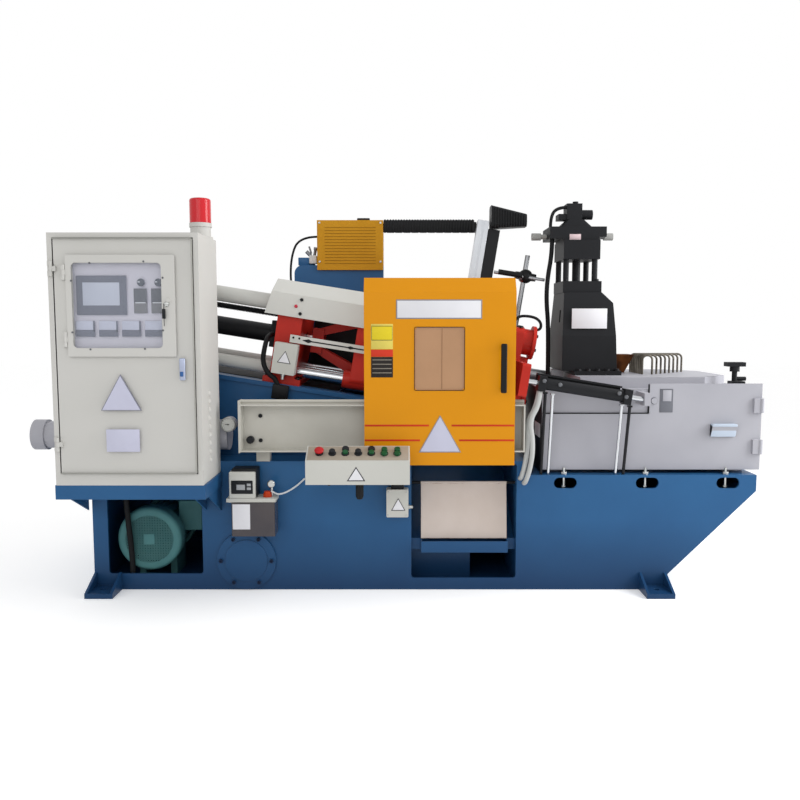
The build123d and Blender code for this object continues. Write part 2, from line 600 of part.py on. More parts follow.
def clamp_unit():
    """Platens, tie bars, sleeves, clamp cylinder and ram, all along the inclined axis."""
    u0, u1 = REAR_U
    f0, f1 = REAR_FOOT_U
    w0 = BED_W
    toe = w0 + PLATEN_TOE
    rear = platen_xz([(f0, w0), (f1, w0), (f1, toe), (u1, toe + 4), (u1, PLATEN_TOP_W), (u0, PLATEN_TOP_W),
                      (u0, toe + 4), (f0, toe)], PLATEN_HALF_WIDTH)
    rear = fillet(rear.edges().filter_by(Axis.X).group_by(Axis.Z)[-1], 30)
    rear -= rod_x((u0 - 50, u1 + 50), 0, 0, RAM_R + 14)
    u0, u1 = FIXED_U
    fixed = platen_xz([(u0 - 20, w0), (u1, w0), (u1, PLATEN_TOP_W), (u0, PLATEN_TOP_W), (u0, toe + 4),
                       (u0 - 20, toe)], PLATEN_HALF_WIDTH)
    fixed = fillet(fixed.edges().filter_by(Axis.X).group_by(Axis.Z)[-1], 30)
    fixed += block((u1, BOSS_U - 4), (-150, 150), (-80, 82))
    for v, w in bar_places():
        fixed += rod_x((u1 - 1, BOSS_U), v, w, BOSS_R)
        fixed += rod_x((BOSS_U - BOSS_FLANGE, BOSS_U), v, w, BOSS_FLANGE_R)
    arm = block(DOCK_ARM_U, (DOCK_V - 26, -PLATEN_HALF_WIDTH + 1), (-86, 62))
    arm = fillet(arm.edges().filter_by(Axis.X), 14)
    fixed += arm
    u0, u1 = MOVING_U
    moving = platen_xz([(u0, MOVING_W[0]), (u1, MOVING_W[0]), (u1, MOVING_W[1]), (u0, MOVING_W[1])],
                       MOVING_HALF_WIDTH)
    moving = fillet(moving.edges().filter_by(Axis.X), 34)
    moving += block(CROSSHEAD_U, (-70, 70), (-60, 60))
    for v in (-52, 26):
        for s in (-1, 1):
            moving += slab_xz([(CROSSHEAD_U[1] - 30, s * 22), (CROSSHEAD_U[1] - 30, s * 60), (u0 + 1, s * 150),
                               (u0 + 1, s * 96)], (v, v + 26))
    for v, w in bar_places():
        rear -= rod_x((REAR_FOOT_U[0] - 5, REAR_U[1] + 5), v, w, BAR_R + BAR_FIT)
        fixed -= rod_x((FIXED_U[0] - 5, BOSS_U - BOSS_FLANGE), v, w, BAR_R + BAR_FIT)
        moving += rod_x((u0 - 36, u1), v, w, BAR_R + 18)
        moving -= rod_x((u0 - 60, u1 + 60), v, w, BAR_R + RUN_FIT)
    fixed -= rod_x((FIXED_U[0] - 5, BOSS_U + 5), 0, 0, NOZZLE_BORE_R)
    node("rear_platen", incline * rear)
    node("fixed_platen", incline * fixed)
    node("moving_platen", incline * moving)

    bars = [incline * rod_x((REAR_U[0] - 8, BOSS_U - BOSS_FLANGE - SEAT), v, w, BAR_R) for v, w in bar_places()]
    node("tie_bars", *bars)
    sleeves = []
    for v, w in bar_places():
        r = SLEEVE_R[1 if w > 0 else -1]
        tube = rod_x((SLEEVE_LEFT_U, REAR_U[0]), v, w, r)
        tube -= rod_x((SLEEVE_LEFT_U + SLEEVE_WALL, REAR_U[0] + 1), v, w, max(r - SLEEVE_WALL, BAR_R + BAR_FIT))
        sleeves.append(incline * tube)
    node("bar_sleeves", *sleeves)

    barrel = rod_x(BARREL_U, 0, 0, BARREL_R)
    barrel += rod_x((BARREL_U[0], BARREL_U[0] + 50), 0, 0, BARREL_R + 16)
    barrel += block((BARREL_U[1] - 30, GLAND_U), (-GLAND_HALF, GLAND_HALF), (-GLAND_HALF, GLAND_HALF))
    barrel -= rod_x((BARREL_U[0] + 50, BARREL_U[1] - 30), 0, 0, RAM_BORE_R)
    barrel -= rod_x((BARREL_U[0] + 60, GLAND_U + 1), 0, 0, RAM_R + RUN_FIT)
    node("clamp_cylinder", incline * barrel)
    ram = rod_x((RAM_BACK_U, CROSSHEAD_U[0]), 0, 0, RAM_R)
    ram += rod_x((RAM_BACK_U, RAM_BACK_U + 40), 0, 0, RAM_BORE_R - RUN_FIT)
    node("clamp_ram", incline * ram)


def clamp_trim():
    """Folded cover over the front tie bars, travel scale and the small tilted switch box."""
    v = -CLAMP_COVER_FRONT
    t = COVER_SHEET
    low, fold, roof = COVER_W
    section = [(v, low), (v, fold), (v + COVER_FOLD, roof), (v + COVER_ROOF, roof), (v + COVER_ROOF, roof - t),
               (v + COVER_FOLD + t / 2, roof - t), (v + t, fold - t / 2), (v + t, low)]
    cover = slab_yz(section, COVER_U)
    cover -= slab_xz([(COVER_U[0] - 1, low - 1), (COVER_U[0], low - 1), (COVER_U[0] + COVER_NOTCH, roof + 2),
                      (COVER_U[0] - 1, roof + 2)], (v - 1, v + COVER_ROOF + 10))
    cover += block(COVER_STRUT_U, (v + COVER_FOLD + 20, v + COVER_ROOF - 20), (PLATEN_TOP_W, roof - t))
    node("clamp_cover", incline * cover)
    strip = block(SCALE_U, (-SCALE_V, 4 - SCALE_V), (-SCALE_HALF, SCALE_HALF))
    strip += block((SCALE_U[0], SCALE_U[0] + 34), (4 - SCALE_V, -PLATEN_HALF_WIDTH), (-SCALE_HALF, SCALE_HALF))
    node("travel_scale", incline * strip)


def guard():
    """Channel beam with a round track, the sliding door on two grooved rollers, and the back guard."""
    x = RAIL_X
    beam = block(x, (RAIL_FRONT, RAIL_BACK), RAIL_Z)
    beam -= block((x[0] - 1, x[1] + 1), (RAIL_FRONT - 1, RAIL_BACK - RAIL_SHEET),
                  (RAIL_Z[0] + RAIL_SHEET, RAIL_Z[1] - RAIL_SHEET))
    for x0 in (x[0], x[1] - RAIL_SHEET):
        beam += block((x0, x0 + RAIL_SHEET), (RAIL_FRONT, RAIL_BACK), RAIL_Z)
    beam += block((x[0] - RAIL_SHEET, x[0]), (RAIL_FRONT, RAIL_BACK), (RAIL_Z[0] - 4, RAIL_Z[1] + 18))
    for x0 in (x[0] + 60, x[1] - 120):
        beam += block((x0, x0 + 60), (RAIL_BACK, -INNER_HALF + 30), (DECK_Z, RAIL_Z[1] - 20))
    beam += block((x[0], x[1]), (TRACK_Y - 4, TRACK_Y + 4), (RAIL_Z[1], RAIL_Z[1] + TRACK_R))
    track_z = RAIL_Z[1] + TRACK_R + TRACK_R / 2
    beam += rod_x((x[0], x[1]), TRACK_Y, track_z, TRACK_R)
    node("guard_beam", beam)

    y0 = DOOR_FRONT
    y1 = DOOR_FRONT + SHEET
    sheet = block(DOOR_X, (y0, y1), (DOOR_Z[0], DOOR_BEVEL_Z))
    rise = DOOR_Z[1] - DOOR_BEVEL_Z
    sheet += slab_yz([(y0, DOOR_BEVEL_Z), (y0 + DOOR_BEVEL_BACK, DOOR_Z[1]),
                      (y0 + DOOR_BEVEL_BACK + SHEET, DOOR_Z[1]), (y1, DOOR_BEVEL_Z)], DOOR_X)
    sheet += block(DOOR_X, (y0 + DOOR_BEVEL_BACK, y0 + DOOR_BEVEL_BACK + 30), (DOOR_Z[1] - SHEET, DOOR_Z[1]))
    side = [(y0, RAIL_Z[1] + 60), (y0 + DOOR_FLANGE, RAIL_Z[1] + 60), (y0 + DOOR_FLANGE, DOOR_BEVEL_Z),
            (y0 + DOOR_BEVEL_BACK, DOOR_BEVEL_Z + rise), (y0, DOOR_BEVEL_Z)]
    for x0 in (DOOR_X[0], DOOR_X[1] - SHEET):
        sheet += slab_yz(side, (x0, x0 + SHEET))
    sheet -= opening_xz(WINDOW_X, WINDOW_Z, WINDOW_R, (y0 - 10, y1 + 10))
    wheel_lift = ROLLER_R - ROLLER_GROOVE + TRACK_R
    wheel_z = track_z + wheel_lift
    for x0 in (DOOR_X[0] + ROLLER_INSET, DOOR_X[1] - ROLLER_INSET):
        arm = block((x0 - 24, x0 + 24), (y1, y1 + 8), (wheel_z - 20, wheel_z + 60))
        arm += rod_y(x0, (y1 + 8, TRACK_Y - ROLLER_WIDTH / 2 - 1), wheel_z, ROLLER_PIN_R + 5)
        arm += rod_y(x0, (y1 + 8, TRACK_Y + ROLLER_WIDTH / 2 + 4), wheel_z, ROLLER_PIN_R)
        sheet += arm
    node("guard_door", sheet)
    wheels = []
    for x0 in (DOOR_X[0] + ROLLER_INSET, DOOR_X[1] - ROLLER_INSET):
        wheel = rod_y(x0, (TRACK_Y - ROLLER_WIDTH / 2, TRACK_Y + ROLLER_WIDTH / 2), wheel_z, ROLLER_R)
        groove = Pos(x0, TRACK_Y, wheel_z) * Rot(90, 0, 0) * Torus(wheel_lift, TRACK_R + SEAT)
        wheels.append(wheel - groove - rod_y(x0, (TRACK_Y - 30, TRACK_Y + 30), wheel_z, ROLLER_PIN_R + SEAT))
    node("door_rollers", *wheels)
    pane = opening_xz((WINDOW_X[0] - 22, WINDOW_X[1] + 22), (WINDOW_Z[0] - 22, WINDOW_Z[1] + 22), WINDOW_R,
                      (y1, y1 + PANE))
    node("door_window", pane)
    bar = block((HANDLE_X - 13, HANDLE_X + 13), (y0 - HANDLE_GRIP - HANDLE_BAR, y0 - HANDLE_GRIP), HANDLE_Z)
    bar = fillet(bar.edges().filter_by(Axis.Y) + bar.edges().filter_by(Axis.Z), 6)
    for z in (HANDLE_Z[0] + 14, HANDLE_Z[1] - 14):
        bar += rod_y(HANDLE_X, (y0 - HANDLE_GRIP - 6, y0), z, 8)
    node("door_handle", bar)

    tall = (DECK_Z, REAR_GUARD_TOP)
    rear = block(REAR_GUARD_X, (INNER_HALF - 6, INNER_HALF - 2), tall)
    for x0 in (REAR_GUARD_X[0], REAR_GUARD_X[1] - REAR_GUARD_FLANGE):
        rear += block((x0, x0 + REAR_GUARD_FLANGE), (INNER_HALF - 6 - REAR_GUARD_FLANGE, INNER_HALF - 2), tall)
    node("rear_guard", rear)


def knuckles(x, y, z_mid, leaf_side, parent_y, child_y, parent_to, child_to):
    """A lift-off hinge: the parent's two end knuckles and pin, and the child's middle knuckle."""
    third = HINGE_LENGTH / 3
    z0 = z_mid - HINGE_LENGTH / 2
    lower = rod_z(x, y, (z0, z0 + third - SEAT), HINGE_R)
    upper = rod_z(x, y, (z0 + 2 * third + SEAT, z0 + HINGE_LENGTH), HINGE_R)
    pin = rod_z(x, y, (z0, z0 + HINGE_LENGTH), HINGE_PIN_R)
    parent = lower + upper + pin
    for z in ((z0, z0 + third - SEAT), (z0 + 2 * third + SEAT, z0 + HINGE_LENGTH)):
        parent += block(sorted((x, parent_to)), (y, parent_y), z)
    middle = (z0 + third, z0 + 2 * third)
    child = rod_z(x, y, middle, HINGE_R) + block(sorted((x, child_to)), (y - 2, child_y), middle)
    child -= rod_z(x, y, (middle[0] - 1, middle[1] + 1), HINGE_PIN_R + RUN_FIT)
    return parent, child


def cabinet():
    """Sheet-steel cabinet with a flush door, and a window door over the recessed instruments."""
    x0, x1 = CAB_X
    z0, z1 = CAB_Z
    y0, y1 = CAB_FRONT, BASE_FRONT
    s = CAB_SHEET
    shell = block(CAB_X, (y0, y1), CAB_Z) - block((x0 + s, x1 - s), (y0 + s, y1 - s), (z0 + s, z1 - s))
    shell -= block((CAB_DOOR_X[0] - DOOR_GAP, CAB_DOOR_X[1] + DOOR_GAP), (y0 - 1, y0 + s + 1),
                   (CAB_DOOR_Z[0] - DOOR_GAP, CAB_DOOR_Z[1] + DOOR_GAP))
    hinge_y = y0 - HINGE_R - 1
    hinge_x = CAB_DOOR_X[0] - 9
    door = block(CAB_DOOR_X, (y0, y0 + CAB_DOOR_DEPTH), CAB_DOOR_Z)
    door -= block((CAB_DOOR_X[0] + s, CAB_DOOR_X[1] - s), (y0 + s, y0 + CAB_DOOR_DEPTH + 1),
                  (CAB_DOOR_Z[0] + s, CAB_DOOR_Z[1] - s))
    door -= opening_xz(INSTR_HOLE_X, INSTR_HOLE_Z, 12, (y0 - 1, y0 + s + 1))
    for z in (CAB_DOOR_Z[0] + 120, CAB_DOOR_Z[1] - 120):
        parent, child = knuckles(hinge_x, hinge_y, z, 1, y0, y0, x0 + 2, CAB_DOOR_X[0] + 12)
        shell += parent
        door += child
    node("cabinet_shell", shell)

    sub_hinge_x = INSTR_DOOR_X[0] - 9
    sub_front = y0 - INSTR_GAP - INSTR_DOOR_DEPTH
    sub_hinge_y = sub_front + 1
    door += block((LATCH_X - 12, LATCH_X + 12), (y0 - 5, y0), LATCH_Z)
    door += rod_y(LATCH_X, (y0 - 12, y0), LATCH_Z[1] - 20, 9)
    sub = block(INSTR_DOOR_X, (sub_front, sub_front + INSTR_DOOR_DEPTH), INSTR_DOOR_Z)
    sub = fillet(sub.edges().filter_by(Axis.Y), 6)
    sub -= block((INSTR_DOOR_X[0] + s, INSTR_DOOR_X[1] - s), (sub_front + s, y0), (INSTR_DOOR_Z[0] + s, INSTR_DOOR_Z[1] - s))
    sub -= opening_xz(INSTR_HOLE_X, INSTR_HOLE_Z, 18, (sub_front - 1, sub_front + s + 1))
    for z in (INSTR_DOOR_Z[0] + 70, INSTR_DOOR_Z[1] - 70):
        parent, child = knuckles(sub_hinge_x, sub_hinge_y, z, 1, y0, sub_front + s + 2, sub_hinge_x - 12,
                                 INSTR_DOOR_X[0] + s)
        door += parent
        sub += child
    lock = rod_y(INSTR_DOOR_X[1] - 26, (sub_front - 6, sub_front), LOCK_Z, 9)
    node("cabinet_door", door)
    node("instrument_door", sub + lock)
    pane = opening_xz((INSTR_HOLE_X[0] - 8, INSTR_HOLE_X[1] + 8), (INSTR_HOLE_Z[0] - 8, INSTR_HOLE_Z[1] + 8), 18,
                      (sub_front + s, sub_front + 2 * s))
    node("instrument_window", pane)

    py = y0 + PANEL_RECESS
    lift = (py - PANEL_LIFT, py)
    wide = (INSTR_HOLE_X[0] - PANEL_EDGE, INSTR_HOLE_X[1] + PANEL_EDGE)
    tall = (INSTR_HOLE_Z[0] - PANEL_EDGE, INSTR_HOLE_Z[1] + PANEL_EDGE)
    panel = block(wide, (py, py + s), tall)
    for x in ((wide[0], wide[0] + s), (wide[1] - s, wide[1])):
        panel += block(x, (y0 + s, py), tall)
    panel += block(SCREEN_X, lift, SCREEN_Z)
    panel += block((SCREEN_X[0] + 20, SCREEN_X[1] - 20), (py + s, py + SCREEN_DEPTH), (SCREEN_Z[0] + 20, SCREEN_Z[1] - 20))
    for x in CONTROLLER_X:
        panel += block((x - CONTROLLER_HALF, x + CONTROLLER_HALF), lift, CONTROLLER_Z)
        panel += rod_y(x + 4, (py - PANEL_LIFT - 2, py), KNOB_Z, KNOB_R)
    for k in range(METER_COUNT):
        x = METER_X0 + METER_PITCH * k
        panel += block((x, x + METER_WIDTH), lift, METER_Z)
    node("instrument_panel", panel)

    plate = block((x0 + 50, x1 - 50), (y1 - 24, y1 - 21), (z0 + 60, z1 - 60))
    for x in (x0 + 70, x1 - 70):
        for z in (z0 + 90, z1 - 90):
            plate += rod_y(x, (y1 - 22, y1 - s), z, 8)
    for z in DUCT_ROWS:
        plate += block((x0 + 80, x1 - 80), (y1 - 64, y1 - 24), (z - 60, z - 20))
        plate += block((x0 + 90, x1 - 90), (y1 - 32, y1 - 24), (z + 40, z + 75))
    node("mounting_plate", plate)

    sz = (z0 - SHELF_HEIGHT, z0)
    shelf = block(SHELF_X, (y0, y1), sz)
    shelf -= block((SHELF_X[0] + SHELF_PLATE, SHELF_X[1] - SHELF_PLATE), (y0 + SHELF_PLATE, y1 + 1),
                   (sz[0] - 1, sz[1] - SHELF_PLATE))
    for x in (SHELF_X[0] + SHELF_PLATE, MOTOR_BAY_X[1] + 18, SHELF_X[1] - 2 * SHELF_PLATE):
        shelf += slab_yz([(y1, sz[0] - 120 if x < MOTOR_BAY_X[0] or x > MOTOR_BAY_X[1] else sz[0]),
                          (y1, sz[1] - SHELF_PLATE), (y0 + SHELF_PLATE, sz[1] - SHELF_PLATE),
                          (y0 + SHELF_PLATE, sz[0] + 6), (y0 + 60, sz[0] + 6)], (x, x + SHELF_PLATE))
    node("cabinet_shelf", shelf)

    post = rod_z(BEACON_X, BEACON_Y, (z1, z1 + 10), BEACON_R + 6) + rod_z(BEACON_X, BEACON_Y, (z1, BEACON_Z[0] - 18), BEACON_POST_R)
    post += rod_z(BEACON_X, BEACON_Y, (BEACON_Z[0] - 18, BEACON_Z[0]), BEACON_R + 2)
    node("beacon_post", post)
    lamp = rod_z(BEACON_X, BEACON_Y, BEACON_Z, BEACON_R)
    node("beacon_lamp", fillet(lamp.edges().group_by(Axis.Z)[-1], 10))


def controls():
    """Push-button box on two arms, its buttons, and the small junction box below."""
    z0, z1, z2 = BUTTON_BOX_Z
    f, b = BUTTON_BOX_FRONT, BUTTON_BOX_BACK
    box = slab_yz([(f, z0), (b, z0), (b, z2), (f, z1)], BUTTON_BOX_X)
    for x in BUTTON_ARM_X:
        box += block((x, x + 40), (b, BASE_FRONT), (z0 + 5, z0 + 45))
    boxes = [box]
    slope = degrees(atan2(z2 - z1, b - f))
    buttons = []
    for k in range(BUTTON_COUNT):
        bezel = Pos(0, 0, 3) * Cylinder(BUTTON_R, 6)
        cap = Pos(0, 0, 11) * Cylinder(BUTTON_R - 4, 10)
        if k == 0:
            cap = Pos(0, 0, 12) * Cylinder(7, 12) + Pos(0, 0, 21) * Cylinder(BUTTON_R + 4, 10)
        place = Pos(BUTTON_X0 + BUTTON_PITCH * k, (f + b) / 2, (z1 + z2) / 2) * Rot(slope, 0, 0)
        buttons.append(place * (bezel + cap))
    node("push_buttons", *buttons)
    junction = block(JUNCTION_X, (BASE_FRONT - JUNCTION_DEPTH, BASE_FRONT), JUNCTION_Z)
    junction = fillet(junction.edges().filter_by(Axis.Y), 6)
    switch = block(SWITCH_U, (-SWITCH_FRONT, -PLATEN_HALF_WIDTH), SWITCH_W)
    switch = incline * fillet(switch.edges().filter_by(Axis.Y), 5)
    node("control_boxes", *boxes, junction, switch)


def lubricator():
    """Oil reservoir with a lid and the timer head on top, hung on the base front."""
    y = (BASE_FRONT - LUBE_DEPTH, BASE_FRONT)
    tank = block((LUBE_X[0] + 22, LUBE_X[1] - 5), y, RESERVOIR_Z)
    tank = fillet(tank.edges().filter_by(Axis.Z), 8)
    node("lube_reservoir", tank)
    lid = block(LUBE_X, y, (RESERVOIR_Z[1], LUBE_LID_Z))
    head = block(LUBE_HEAD_X, y, (LUBE_LID_Z, LUBE_HEAD_Z))
    head = fillet(head.edges().filter_by(Axis.Y), 5)
    cap = rod_z(LUBE_X[1] - 40, y[0] + 40, (LUBE_LID_Z, LUBE_LID_Z + 30), 17)
    node("lube_head", lid + head + cap)


def cooler():
    """Oil cooler drum on two saddles, with its end covers, and the pressure gauge."""
    x0, x1 = COOLER_X
    drum = rod_x((x0 + 20, x1 - 20), COOLER_Y, COOLER_Z, COOLER_R - 8)
    for x in ((x0, x0 + COOLER_CAP), (x1 - COOLER_CAP, x1)):
        drum += rod_x(x, COOLER_Y, COOLER_Z, COOLER_R)
    for x in SADDLE_X:
        saddle = block((x, x + 50), (COOLER_Y - 55, COOLER_Y + 55), (DECK_Z, COOLER_Z - 20))
        drum += saddle
    gauge = rod_y(GAUGE_X, (BASE_FRONT + 2, BASE_FRONT + 34), GAUGE_Z, GAUGE_R)
    gauge += rod_y(GAUGE_X, (BASE_FRONT + 34, COOLER_Y + 8), GAUGE_Z, 9)
    gauge += rod_x((x1, GAUGE_X + 9), COOLER_Y, COOLER_Z + 30, 9)
    gauge += rod_z(GAUGE_X, COOLER_Y, (COOLER_Z + 30, GAUGE_Z + 9), 9)
    node("oil_cooler", drum + gauge)


def upright_tank():
    """Upright oil tank behind the clamp unit, with a sheet-metal hood on top."""
    tank = block(TANK_X, TANK_Y, (DECK_Z, TANK_TOP))
    tank = fillet(tank.edges().filter_by(Axis.Y).group_by(Axis.Z)[-1].sort_by(Axis.X)[0], 45)
    filler = rod_z(TANK_X[0] + 82, TANK_Y[0] + 50, (TANK_TOP, TANK_TOP + 40), 26)
    node("upright_tank", tank + filler)
    hood = block(HOOD_X, HOOD_Y, (TANK_TOP, HOOD_TOP))
    hood = fillet(hood.edges().filter_by(Axis.Z), 6)
    hood += block(HOOD_X, (HOOD_Y[0], HOOD_Y[0] + 4), (TANK_TOP - HOOD_LIP, TANK_TOP + 10))
    node("tank_hood", hood)


def furnace():
    """Melting furnace: body, L-shaped front panel, raised lid, hoops, hopper and post."""
    x, y, z = FURNACE_X, FURNACE_Y, FURNACE_Z
    body = block((x[0], x[1] - 10), y, z)
    for x0 in (x[0] + 40, x[1] - 140):
        body += block((x0, x0 + 90), (y[0] + 60, y[1] - 60), (LEDGE_Z, z[0]))
    node("furnace_body", body)
    panel = slab_xz([(x[0], z[0] - 8), (x[1], z[0] - 8), (x[1], PANEL_TOP), (PANEL_STEP_X, PANEL_TOP),
                     (PANEL_STEP_X, PANEL_STEP_Z), (x[0], PANEL_STEP_Z)], (y[0] - PANEL_SHEET, y[0]))
    for z0 in HINGE_ROWS:
        panel += rod_z(x[1] - 4, y[0] - PANEL_SHEET - 9, (z0, z0 + 66), 10)
        panel += block((x[1] - 40, x[1] - 4), (y[0] - PANEL_SHEET - 14, y[0] - PANEL_SHEET), (z0, z0 + 66))
    front = y[0] - PANEL_SHEET
    panel += rod_y(LATCH_PLACE[0], (front - 6, y[0]), LATCH_PLACE[1], 14)
    panel += slab_yz([(y[0], PULL_Z[0]), (y[0], PULL_Z[1]), (front - PULL_DEPTH, PULL_Z[1] - 12),
                      (front - 8, PULL_Z[0])], PULL_X)
    node("furnace_front_panel", panel)

    lid_y = (-LID_HALF, LID_HALF)
    lid = block(LID_X, lid_y, (z[1], LID_Z))
    lid = chamfer(lid.edges().filter_by(Axis.Z).sort_by(Axis.X)[-2:], LID_CHAMFER)
    node("furnace_lid", lid)

    hoops = []
    step = (HOOP_Y[1] - HOOP_Y[0]) / (HOOP_COUNT - 1)
    for k in range(HOOP_COUNT):
        x1 = HOOP_X0 + HOOP_PITCH * k
        path = FilletPolyline((HOOP_LEFT, 0, LID_Z), (HOOP_LEFT, 0, HOOP_TOP), (x1, 0, HOOP_TOP), (x1, 0, LID_Z),
                              radius=HOOP_BEND)
        hoop = sweep(Plane(origin=path @ 0, z_dir=path % 0) * Circle(HOOP_R), path=path)
        hoops.append(Pos(0, HOOP_Y[0] + step * k, 0) * hoop)
    node("heater_hoops", *hoops)

    foot, mouth = Rectangle(40, 60), Rectangle(110, 120)
    hopper = loft([Plane(origin=(*HOPPER, LID_Z)) * foot, Plane(origin=(HOPPER[0] + 6, HOPPER[1], LID_Z + HOPPER_RISE)) * mouth])
    node("ingot_hopper", hopper)
    post = rod_z(LEVER_X, LEVER_Y, (z[1], z[1] + 105), 12) + rod_z(LEVER_X, LEVER_Y, (z[1] + 75, z[1] + 109), 22)
    post += block((LEVER_X - 42, LEVER_X + 42), (LEVER_Y - 25, LEVER_Y + 25), (z[1] + 99, z[1] + 119))
    post += rod_x((LEVER_X + 2, LEVER_X + 52), LEVER_Y, z[1] + 41, 10)
    post += block((LEVER_X - 20, LEVER_X + 40), (LEVER_Y - 30, LEVER_Y + 30), (z[1], z[1] + 30))
    node("lever_post", post)


def shot_unit():
    """Bracket over the pot, rods, cylinder block, cross block with knobs and the valve."""
    x0, x1 = SHOT_X
    foot = LID_Z + SHOT_FOOT
    outline = [(x0, foot), (x1 + 8, foot), (x1, SHOT_KNEE_Z), (x1 - 10, SHOT_TOP - SHOT_CHAMFER),
               (x1 - 12 - SHOT_CHAMFER, SHOT_TOP), (x0 + 12, SHOT_TOP), (x0, SHOT_KNEE_Z)]
    profile = slab_xz(outline, (-SHOT_HALF, SHOT_HALF))
    section = [(-SHOT_HALF, foot), (SHOT_HALF, foot), (SHOT_HALF, SHOT_KNEE_Z), (SHOT_TOP_HALF, SHOT_TOP),
               (-SHOT_TOP_HALF, SHOT_TOP), (-SHOT_HALF, SHOT_KNEE_Z)]
    bracket = profile & slab_yz(section, (x0 - 10, x1 + 20))
    bracket += block((x0 + 54, x1 + 24), (-SHOT_HALF - 24, SHOT_HALF + 24), (LID_Z, foot))
    bracket -= Pos(x0, -70, SHOT_TOP - 115) * Box(60, 30, 60)
    bracket += block(SHOT_BASE_X, (-SHOT_BASE_HALF, SHOT_BASE_HALF), (SHOT_TOP, SHOT_TOP + SHOT_BASE))
    node("shot_bracket", bracket)

    rod_z0 = SHOT_TOP + SHOT_BASE
    z = rod_z0 + SHOT_ROD_LENGTH
    rods = [rod_z(SHOT_AXIS_X + dx, dy, (rod_z0, z), SHOT_ROD_R) for dx in (-70, 70) for dy in (-92, 92)]
    rods.append(rod_z(SHOT_AXIS_X, 0, (rod_z0, z), PLUNGER_R))

    h0, h1 = SHOT_HEAD_X
    w0, w1 = SHOT_WING_X
    neck_foot, wing, step, top = [z + rise for rise in SHOT_HEAD_RISE]
    head = block(SHOT_HEAD_X, (-SHOT_HEAD_HALF, SHOT_HEAD_HALF), (z, neck_foot))
    head += slab_xz([(h0, neck_foot), (h1, neck_foot), (h1, step), (w1, step), (w1, top), (w0, top), (w0, wing),
                     (h0, wing)], (-SHOT_WING_HALF, SHOT_WING_HALF))
    lower = Plane(origin=(SHOT_AXIS_X - 15, 0, top)) * RectangleRounded(170, 120, 20)
    upper = Plane(origin=(SHOT_AXIS_X - 15, 0, top + SHOT_NECK)) * RectangleRounded(84, 90, 10)
    head += loft([lower, upper])
    for rod in rods:
        head += rod
    knobs = []
    for a, b in ((w0 - KNOB_REACH[0], w0), (w1, w1 + KNOB_REACH[1])):
        outer = (a, a + KNOB_HEAD) if a < SHOT_AXIS_X else (b - KNOB_HEAD, b)
        knobs.append(rod_x((a, b), 0, step + 10, 12) + rod_x(outer, 0, step + 10, 18))
    node("shot_knobs", *knobs)
    v0, v1 = VALVE_X
    z = top + SHOT_NECK
    valve = block(VALVE_X, (-VALVE_HALF, VALVE_HALF), (z, z + VALVE_RISE))
    valve += rod_x((v1, v1 + 58), 0, z + 28, SOLENOID_R) + rod_z(v1 - 25, 0, (z + VALVE_RISE, z + VALVE_RISE + 14), 14)
    valve += block((v0 - 40, v0), (5 - VALVE_HALF, VALVE_HALF - 5), (z, z + 28))
    node("shot_cylinder", head + valve)


def nozzle():
    """Gooseneck block on the furnace top and the nozzle tube into the fixed platen."""
    tube = incline * rod_x(NOZZLE_U, 0, 0, NOZZLE_R)
    neck = block((846, 906), (-62, 62), (FURNACE_Z[1], LID_Z + 20))
    node("nozzle", tube + neck)


def docking():
    """Docking cylinder along the clamp axis, its lugs and angle bar, and four support rods."""
    u0, u1 = DOCK_U
    body = rod_x((u0, u1), DOCK_V, DOCK_W, DOCK_R)
    for a, b in ((u0, u0 + 34), (u1 - 34, u1)):
        body += block((a, b), (DOCK_V - 32, DOCK_V + 32), (DOCK_W - 34, DOCK_W + 34))
    body += block((u0 - 6, u1 - 40), (DOCK_V + 10, DOCK_V + 40), (DOCK_W + 34, DOCK_W + 42))
    body += block((u0 - 6, u1 - 40), (DOCK_V + 34, DOCK_V + 40), (DOCK_W + 12, DOCK_W + 42))
    rods = rod_x((DOCK_ARM_U[1], u0), DOCK_V, DOCK_W, DOCK_ROD_R)
    right = rod_x((u1, DOCK_LUG_U), DOCK_V, DOCK_W, DOCK_ROD_R)
    stays = []
    for x, lug in zip(STAY_X, (u0, u0, u1 - 34, u1 - 34)):
        top = AXIS_Z - tan(radians(INCLINE)) * x + (DOCK_W - 34) / cos(radians(INCLINE)) - STAY_DROP
        run = (0, STAY_FOOT_Y - DOCK_V, LEDGE_Z - top)
        disc = Pos(x, DOCK_V, top) * Circle(STAY_R)
        stay = extrude(disc, amount=Vector(run).length, dir=run)
        stay += block((x - 9, x + 9), (DOCK_V - 12, DOCK_V + 12), (top, top + STAY_DROP - 2))
        stays.append(stay)
    node("docking_cylinder", incline * body, stays[0], stays[3])
    node("docking_rods", incline * rods, incline * right, stays[1], stays[2])
    lug_x, lug_z = clamp_point(DOCK_LUG_U, DOCK_W)
    lug_x += DOCK_ROD_R * sin(radians(INCLINE)) + SEAT
    lug = block((lug_x, lug_x + DOCK_LUG), (DOCK_V - 20, FURNACE_Y[0]), (lug_z - DOCK_LUG, lug_z + DOCK_LUG))
    node("furnace_body", NODES["furnace_body"] + lug)


